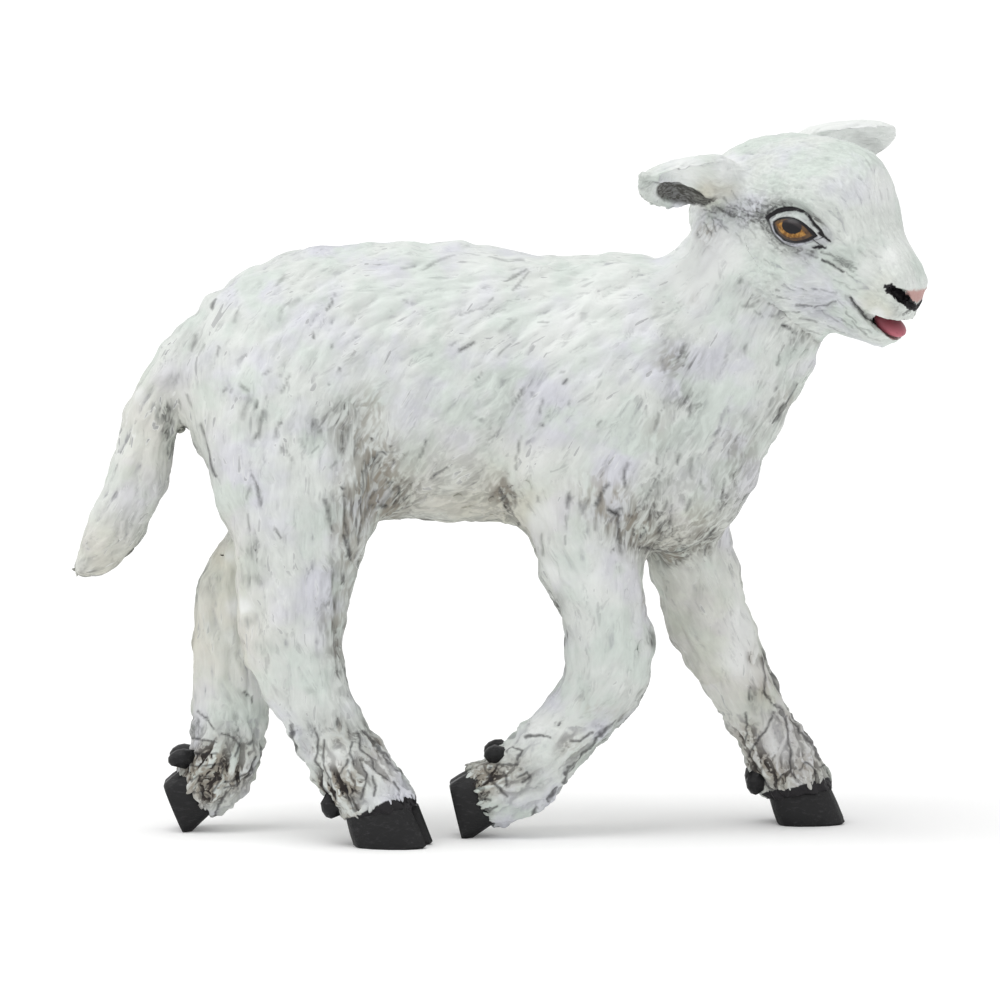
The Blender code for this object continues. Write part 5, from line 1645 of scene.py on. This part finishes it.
def makeHornPaint():
    # satin near-black paint, dusted with a dry brush
    paint, tree = newPaint("satinBlackPaint")
    drawn = Signal(tree, vectorMath(tree, "MULTIPLY", placeInMm(tree), (0.9, 2.6, 2.6)))
    streaks = noiseOf(drawn, 1 / 1.6, 5.0, Roughness=0.7)
    dust = streaks.span(0.52, 0.74, 0.0, 0.55)
    colour = dust.between(colours["horn"], colours["hornDust"])
    bump = addNode(tree, "ShaderNodeBump", Strength=0.6, Distance=0.14 * mm, Height=streaks)
    finishPaint(tree, colour, dust.span(0, 0.5, 0.38, 0.6), 0.34, Normal=bump.outputs[0])
    return paint


pupilLook = {
    # in mm from the eye's middle
    "onward": 0.06,
    "upward": 0.28,
    "halfLength": 0.86,
    "halfHeight": 0.56,
}


def makeEyePaint():
    # amber iris, black pupil and a brown rim in satin paint; the rim's top is painted shade under the lid
    paint, tree = newPaint("satinEyePaint")
    eyePlace = attributeOf(tree, "eyePlace")
    x, _, z = place = eyePlace.split()
    reach = almondOf(place)
    brush = noiseOf(eyePlace, 1 / 3.2, 3.0)
    colour = brush.span(0.38, 0.62).between(colours["amberDark"], colours["amber"])
    across = (x - pupilLook["onward"]) / pupilLook["halfLength"]
    up = (z - pupilLook["upward"]) / pupilLook["halfHeight"]
    pupil = across.scaled(across, up * up).by("SQRT") + brush.scaled(0.10, -0.05)
    colour = colour.mixed(pupil.span(1.06, 0.94), colours["ink"])
    # the dark rim round the iris; at the top it is painted shade under the lid
    colour = colour.mixed(reach.span(-0.42, -0.30) * z.span(0.25, -0.30, 0.75, 0.8), colours["ring"])
    colour = colour.mixed(reach.span(-0.14, -0.06), colours["ink"])
    finishPaint(tree, colour, 0.30, 0.22)
    return paint


def makeTonguePaint():
    # satin rose paint, darker in patches, and darker at the top as painted shadow inside the mouth
    paint, tree = newPaint("satinRosePaint")
    place = placeInMm(tree)
    # darker in noisy patches, and darker at the top: painted shadow inside the mouth
    shade = noiseOf(place, 0.5, 3.0).span(0.50, 0.34).by("MAXIMUM", place.split()[2].span(41.5, 42.7))
    finishPaint(tree, shade.between(colours["tongue"], colours["tongueDark"]), 0.42, 0.4)
    return paint


fleecePaint, hornPaint = makeFleecePaint(), makeHornPaint()
eyePaint, tonguePaint = makeEyePaint(), makeTonguePaint()
print("paints mixed")


# Raised locks of hair, grown on the pieces by a Geometry Nodes tree
def makeLockTree():
    tree = bpy.data.node_groups.new("raisedLocks", "GeometryNodeTree")
    tree.interface.new_socket("Geometry", in_out="OUTPUT", socket_type="NodeSocketGeometry")
    kinds = {"Geometry": "Geometry", "Kind": "Int", "Spacing": "Float", "Length": "Float", "Width": "Float",
             "Thickness": "Float", "Lift": "Float", "Vary": "Float", "Seed": "Int", "Paint": "Material"}
    for name, kind in kinds.items():
        tree.interface.new_socket(name, in_out="INPUT", socket_type="NodeSocket" + kind)
    given = addNode(tree, "NodeGroupInput")
    ask = {socket.name: Signal(tree, socket) for socket in given.outputs if socket.name}

    def named(name):
        return addNode(tree, "GeometryNodeInputNamedAttribute", {"data_type": "FLOAT_VECTOR"},
                       Name=name).outputs["Attribute"]

    # fringe holds one density for each kind of lock
    density = addNode(tree, "ShaderNodeSeparateXYZ", Vector=named("fringe"))
    pick = addNode(tree, "GeometryNodeIndexSwitch", {"data_type": "FLOAT"}, Index=ask["Kind"])
    tree.links.new(density.outputs["X"], pick.inputs["0"])
    tree.links.new(density.outputs["Y"], pick.inputs["1"])
    scatter = addNode(tree, "GeometryNodeDistributePointsOnFaces", {"distribute_method": "POISSON"},
                      Mesh=ask["Geometry"], Distance_Min=ask["Spacing"], Density_Max=4e7,
                      Density_Factor=pick.outputs[0], Seed=ask["Seed"])
    turn = addNode(tree, "FunctionNodeAxesToRotation", {"primary_axis": "Z", "secondary_axis": "X"},
                   Primary_Axis=named("upright"), Secondary_Axis=named("way"))
    # a lock is a round body drawn out along X, blunt, narrower at its tip and sunk into the coat
    ball = addNode(tree, "GeometryNodeMeshUVSphere", Segments=10, Rings=6, Radius=1.0)
    x, y, z = Signal(tree, addNode(tree, "GeometryNodeInputPosition").outputs[0]).split()
    along = x.scaled(0.5, 0.5)
    taper = along.scaled(-0.60, 1.15)
    bend = (along * along).scaled(-0.60, -0.35)
    laid = addNode(tree, "ShaderNodeCombineXYZ", X=along, Y=y * taper, Z=z.scaled(taper, bend))
    leaf = addNode(tree, "GeometryNodeSetPosition", Geometry=ball.outputs["Mesh"], Position=laid.outputs[0])
    chance = addNode(tree, "FunctionNodeRandomValue", {"data_type": "FLOAT"}, Seed=ask["Seed"],
                     i2=mathOf(tree, "SUBTRACT", 1.0, ask["Vary"]), i3=mathOf(tree, "ADD", 1.0, ask["Vary"]))
    size = chance.outputs[1]
    sizes = addNode(tree, "ShaderNodeCombineXYZ", X=ask["Length"] * size, Y=ask["Width"] * size,
                    Z=ask["Thickness"] * size)
    sway = addNode(tree, "FunctionNodeRandomValue", {"data_type": "FLOAT"}, Seed=ask["Seed"] + 5.0, i2=-0.35,
                   i3=0.35).outputs[1]
    turns = addNode(tree, "ShaderNodeCombineXYZ", Y=ask["Lift"] * -1.0, Z=sway)
    lean = addNode(tree, "FunctionNodeEulerToRotation", Euler=turns.outputs[0])
    tilt = addNode(tree, "FunctionNodeRotateRotation", {"rotation_space": "LOCAL"}, Rotation=turn.outputs[0],
                   Rotate_By=lean.outputs[0])
    grown = addNode(tree, "GeometryNodeInstanceOnPoints", Points=scatter.outputs["Points"],
                    Instance=leaf.outputs[0], Rotation=tilt.outputs[0], Scale=sizes.outputs[0])
    real = addNode(tree, "GeometryNodeRealizeInstances", Geometry=grown.outputs[0])
    smooth = addNode(tree, "GeometryNodeSetShadeSmooth", Geometry=real.outputs[0])
    painted = addNode(tree, "GeometryNodeSetMaterial", Geometry=smooth.outputs[0], Material=ask["Paint"])
    addNode(tree, "NodeGroupOutput", Geometry=painted.outputs[0])
    return tree


raisedLook = {
    # kind 0 hangs over the hooves, kind 1 breaks the outline of the coat; metres, radians
    "coronet": {"Kind": 0, "Spacing": 0.22 * mm, "Length": 0.66 * mm, "Width": 0.20 * mm,
                "Thickness": 0.13 * mm, "Lift": 0.0, "Vary": 0.30, "Seed": 3},
    "coat": {"Kind": 1, "Spacing": 0.95 * mm, "Length": 1.2 * mm, "Width": 0.34 * mm,
             "Thickness": 0.15 * mm, "Lift": -0.09, "Vary": 0.35, "Seed": 11},
}


def growLocks(piece, look, tree):
    # the locks of one kind on one piece, as a mesh of their own
    ground = linked(piece.name + "Locks", piece.data.copy())
    grow = ground.modifiers.new("locks", "NODES")
    grow.node_group = tree
    ids = {socket.name: socket.identifier for socket in tree.interface.items_tree if socket.in_out == "INPUT"}
    for name, value in look.items():
        grow[ids[name]] = value
    grow[ids["Paint"]] = fleecePaint
    return baked(ground)


def joinLocks(piece, grown):
    # adds the locks to the piece's mesh, with their attributes; each is shaded by its own form
    mesh = piece.data
    count = len(mesh.vertices)
    closed(opened(mesh, *[part.data for part in grown]), mesh)
    for part in grown:
        bpy.data.objects.remove(part)
    shading = readVectors(mesh, "shading")
    shading[count:] = normalsOf(mesh)[count:]
    writeVectors(mesh, "shading", shading)


lockTree = makeLockTree()
for node, piece in skinPieces.items():
    if labelOf[node] not in headLabels:
        joinLocks(piece, [growLocks(piece, look, lockTree) for look in raisedLook.values()])
print("raised locks grown:", {node: len(piece.data.vertices) for node, piece in skinPieces.items()})


thinLook = {
    "most": 195000,                         # triangles in one piece
    "marked": 0.05,                         # ink from which a point counts as a painted line
}


def thin(piece):
    # a piece with too many triangles gets fewer where no line is painted
    mesh = piece.data
    count = triangleCount(mesh)
    if count <= thinLook["most"]:
        return
    ink = readVectors(mesh, "marks")[:, 1]
    group = piece.vertex_groups.new(name="plain")
    group.add(np.flatnonzero(ink < thinLook["marked"]).tolist(), 1.0, "REPLACE")
    fewer = piece.modifiers.new("fewer", "DECIMATE")
    fewer.ratio = thinLook["most"] / count
    fewer.vertex_group = "plain"
    baked(piece).vertex_groups.clear()
    print(piece.name, "thinned to", triangleCount(piece.data), "triangles")


def finishPiece(obj, node, paint):
    obj.data.materials.clear()
    obj.data.materials.append(paint)
    obj.name = node + "Dressed"
    obj.data.name = node + "Dressed"
    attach(obj, "root")
    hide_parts(node)


def finishFleece():
    for node, piece in skinPieces.items():
        thin(piece)
        mesh = piece.data
        mesh.shade_smooth()
        mesh.normals_split_custom_set_from_vertices(readVectors(mesh, "shading").tolist())
        for name in ("shading", "way", "upright", "fringe"):
            mesh.attributes.remove(mesh.attributes[name])
        finishPiece(piece, node, fleecePaint)


finishFleece()
print("fleece dressed")

# hooves and dewclaws: the CAD's own, with their edges eased and their tops sunk into the leg
hoofLook = {
    "near": 0.55 * mm,                      # points closer than this to the leg are sunk into it
    "sink": 0.18 * mm,
    "ground": 0.1 * mm,                     # points lower than this stay where they are
    "edge": 0.26 * mm,
    "edgeAngle": math.radians(38),
    "edgeParts": 4,
}


def dressHoof(node):
    leg = treeOf("_".join(node.split("_")[:2]) + "_leg")
    mesh = welded(node)
    for vert in mesh.vertices:
        spot, _, _, gap = leg.find_nearest(vert.co)
        if gap < hoofLook["near"] and vert.co.z > hoofLook["ground"]:
            vert.co += (spot - vert.co).normalized() * (gap + hoofLook["sink"])
    hoof = linked(node + "Hoof", mesh)
    ease = hoof.modifiers.new("ease", "BEVEL")
    ease.width = hoofLook["edge"]
    ease.segments = hoofLook["edgeParts"]
    ease.limit_method = "ANGLE"
    ease.angle_limit = hoofLook["edgeAngle"]
    baked(hoof)
    hoof.data.shade_smooth()
    finishPiece(hoof, node, hornPaint)


for node in hoofNodes:
    dressHoof(node)
print("hooves dressed")


def dressEye(node):
    front, back = eyeballs[node]
    mesh = lensMesh(node + "Lens", front, back, eyeLook["spokes"])
    writeVectors(mesh, "eyePlace", toEye(pointsOf(mesh), node) / mm)
    finishPiece(linked(node + "Lens", mesh), node, eyePaint)


for node in eyeMiddles:
    dressEye(node)

tongueLook = {"levels": 2, "swell": 0.12 * mm}
tongue = linked("tongueForm", welded("tongue", tongueLook["swell"]))
rounding = tongue.modifiers.new("round", "SUBSURF")
rounding.levels = rounding.render_levels = tongueLook["levels"]
baked(tongue).data.shade_smooth()
finishPiece(tongue, "tongue", tonguePaint)
print("eyes and tongue dressed")

# A pale floor and soft light from all round
stageLook = {
    "floor": "#ffffff",
    "floorSize": 12.0,
    "glow": 0.07,                           # lifts the floor's shadows a little, for the camera only
    "world": 0.64,
    "sun": {"from": (-0.30, -0.20, 1.0), "angle": math.radians(40), "strength": 1.42},
}


def makeFloor():
    half = stageLook["floorSize"] / 2
    mesh = bpy.data.meshes.new("floor")
    corners = [(-half, -half, 0), (half, -half, 0), (half, half, 0), (-half, half, 0)]
    mesh.from_pydata(corners, [], [(0, 1, 2, 3)])
    floor = linked("floor", mesh)
    paint, tree = newPaint("paleFloor")     # matt white studio floor
    seen = addNode(tree, "ShaderNodeLightPath").outputs["Is Camera Ray"]
    finish = addNode(tree, "ShaderNodeBsdfPrincipled", Base_Color=toLinear(stageLook["floor"]), Roughness=0.9,
                     Specular_IOR_Level=0.0, Emission_Color=(1, 1, 1, 1),
                     Emission_Strength=mathOf(tree, "MULTIPLY", seen, stageLook["glow"]))
    addNode(tree, "ShaderNodeOutputMaterial", Surface=finish.outputs[0])
    mesh.materials.append(paint)


def makeWorld():
    world = bpy.data.worlds.new("softWhite")
    world.use_nodes = True
    scene.world = world
    tree = world.node_tree
    tree.nodes.clear()
    path = addNode(tree, "ShaderNodeLightPath").outputs
    mirrored = mathOf(tree, "ADD", path["Is Glossy Ray"], path["Is Transmission Ray"])
    seen = mathOf(tree, "ADD", path["Is Camera Ray"], mirrored).by("MINIMUM", 1.0)
    strength = seen.scaled(1 - stageLook["world"], stageLook["world"])
    glow = addNode(tree, "ShaderNodeBackground", Color=(1, 1, 1, 1), Strength=strength)
    addNode(tree, "ShaderNodeOutputWorld", Surface=glow.outputs[0])


def makeSun():
    look = stageLook["sun"]
    data = bpy.data.lights.new("sun", "SUN")
    data.angle = look["angle"]
    data.energy = look["strength"]
    lamp = bpy.data.objects.new("sun", data)
    lamp.location = look["from"]
    lamp.rotation_euler = Vector(look["from"]).to_track_quat("Z", "Y").to_euler()
    scene.collection.objects.link(lamp)


makeFloor()
makeWorld()
makeSun()
scene.view_settings.view_transform = "Standard"
print("stage set")
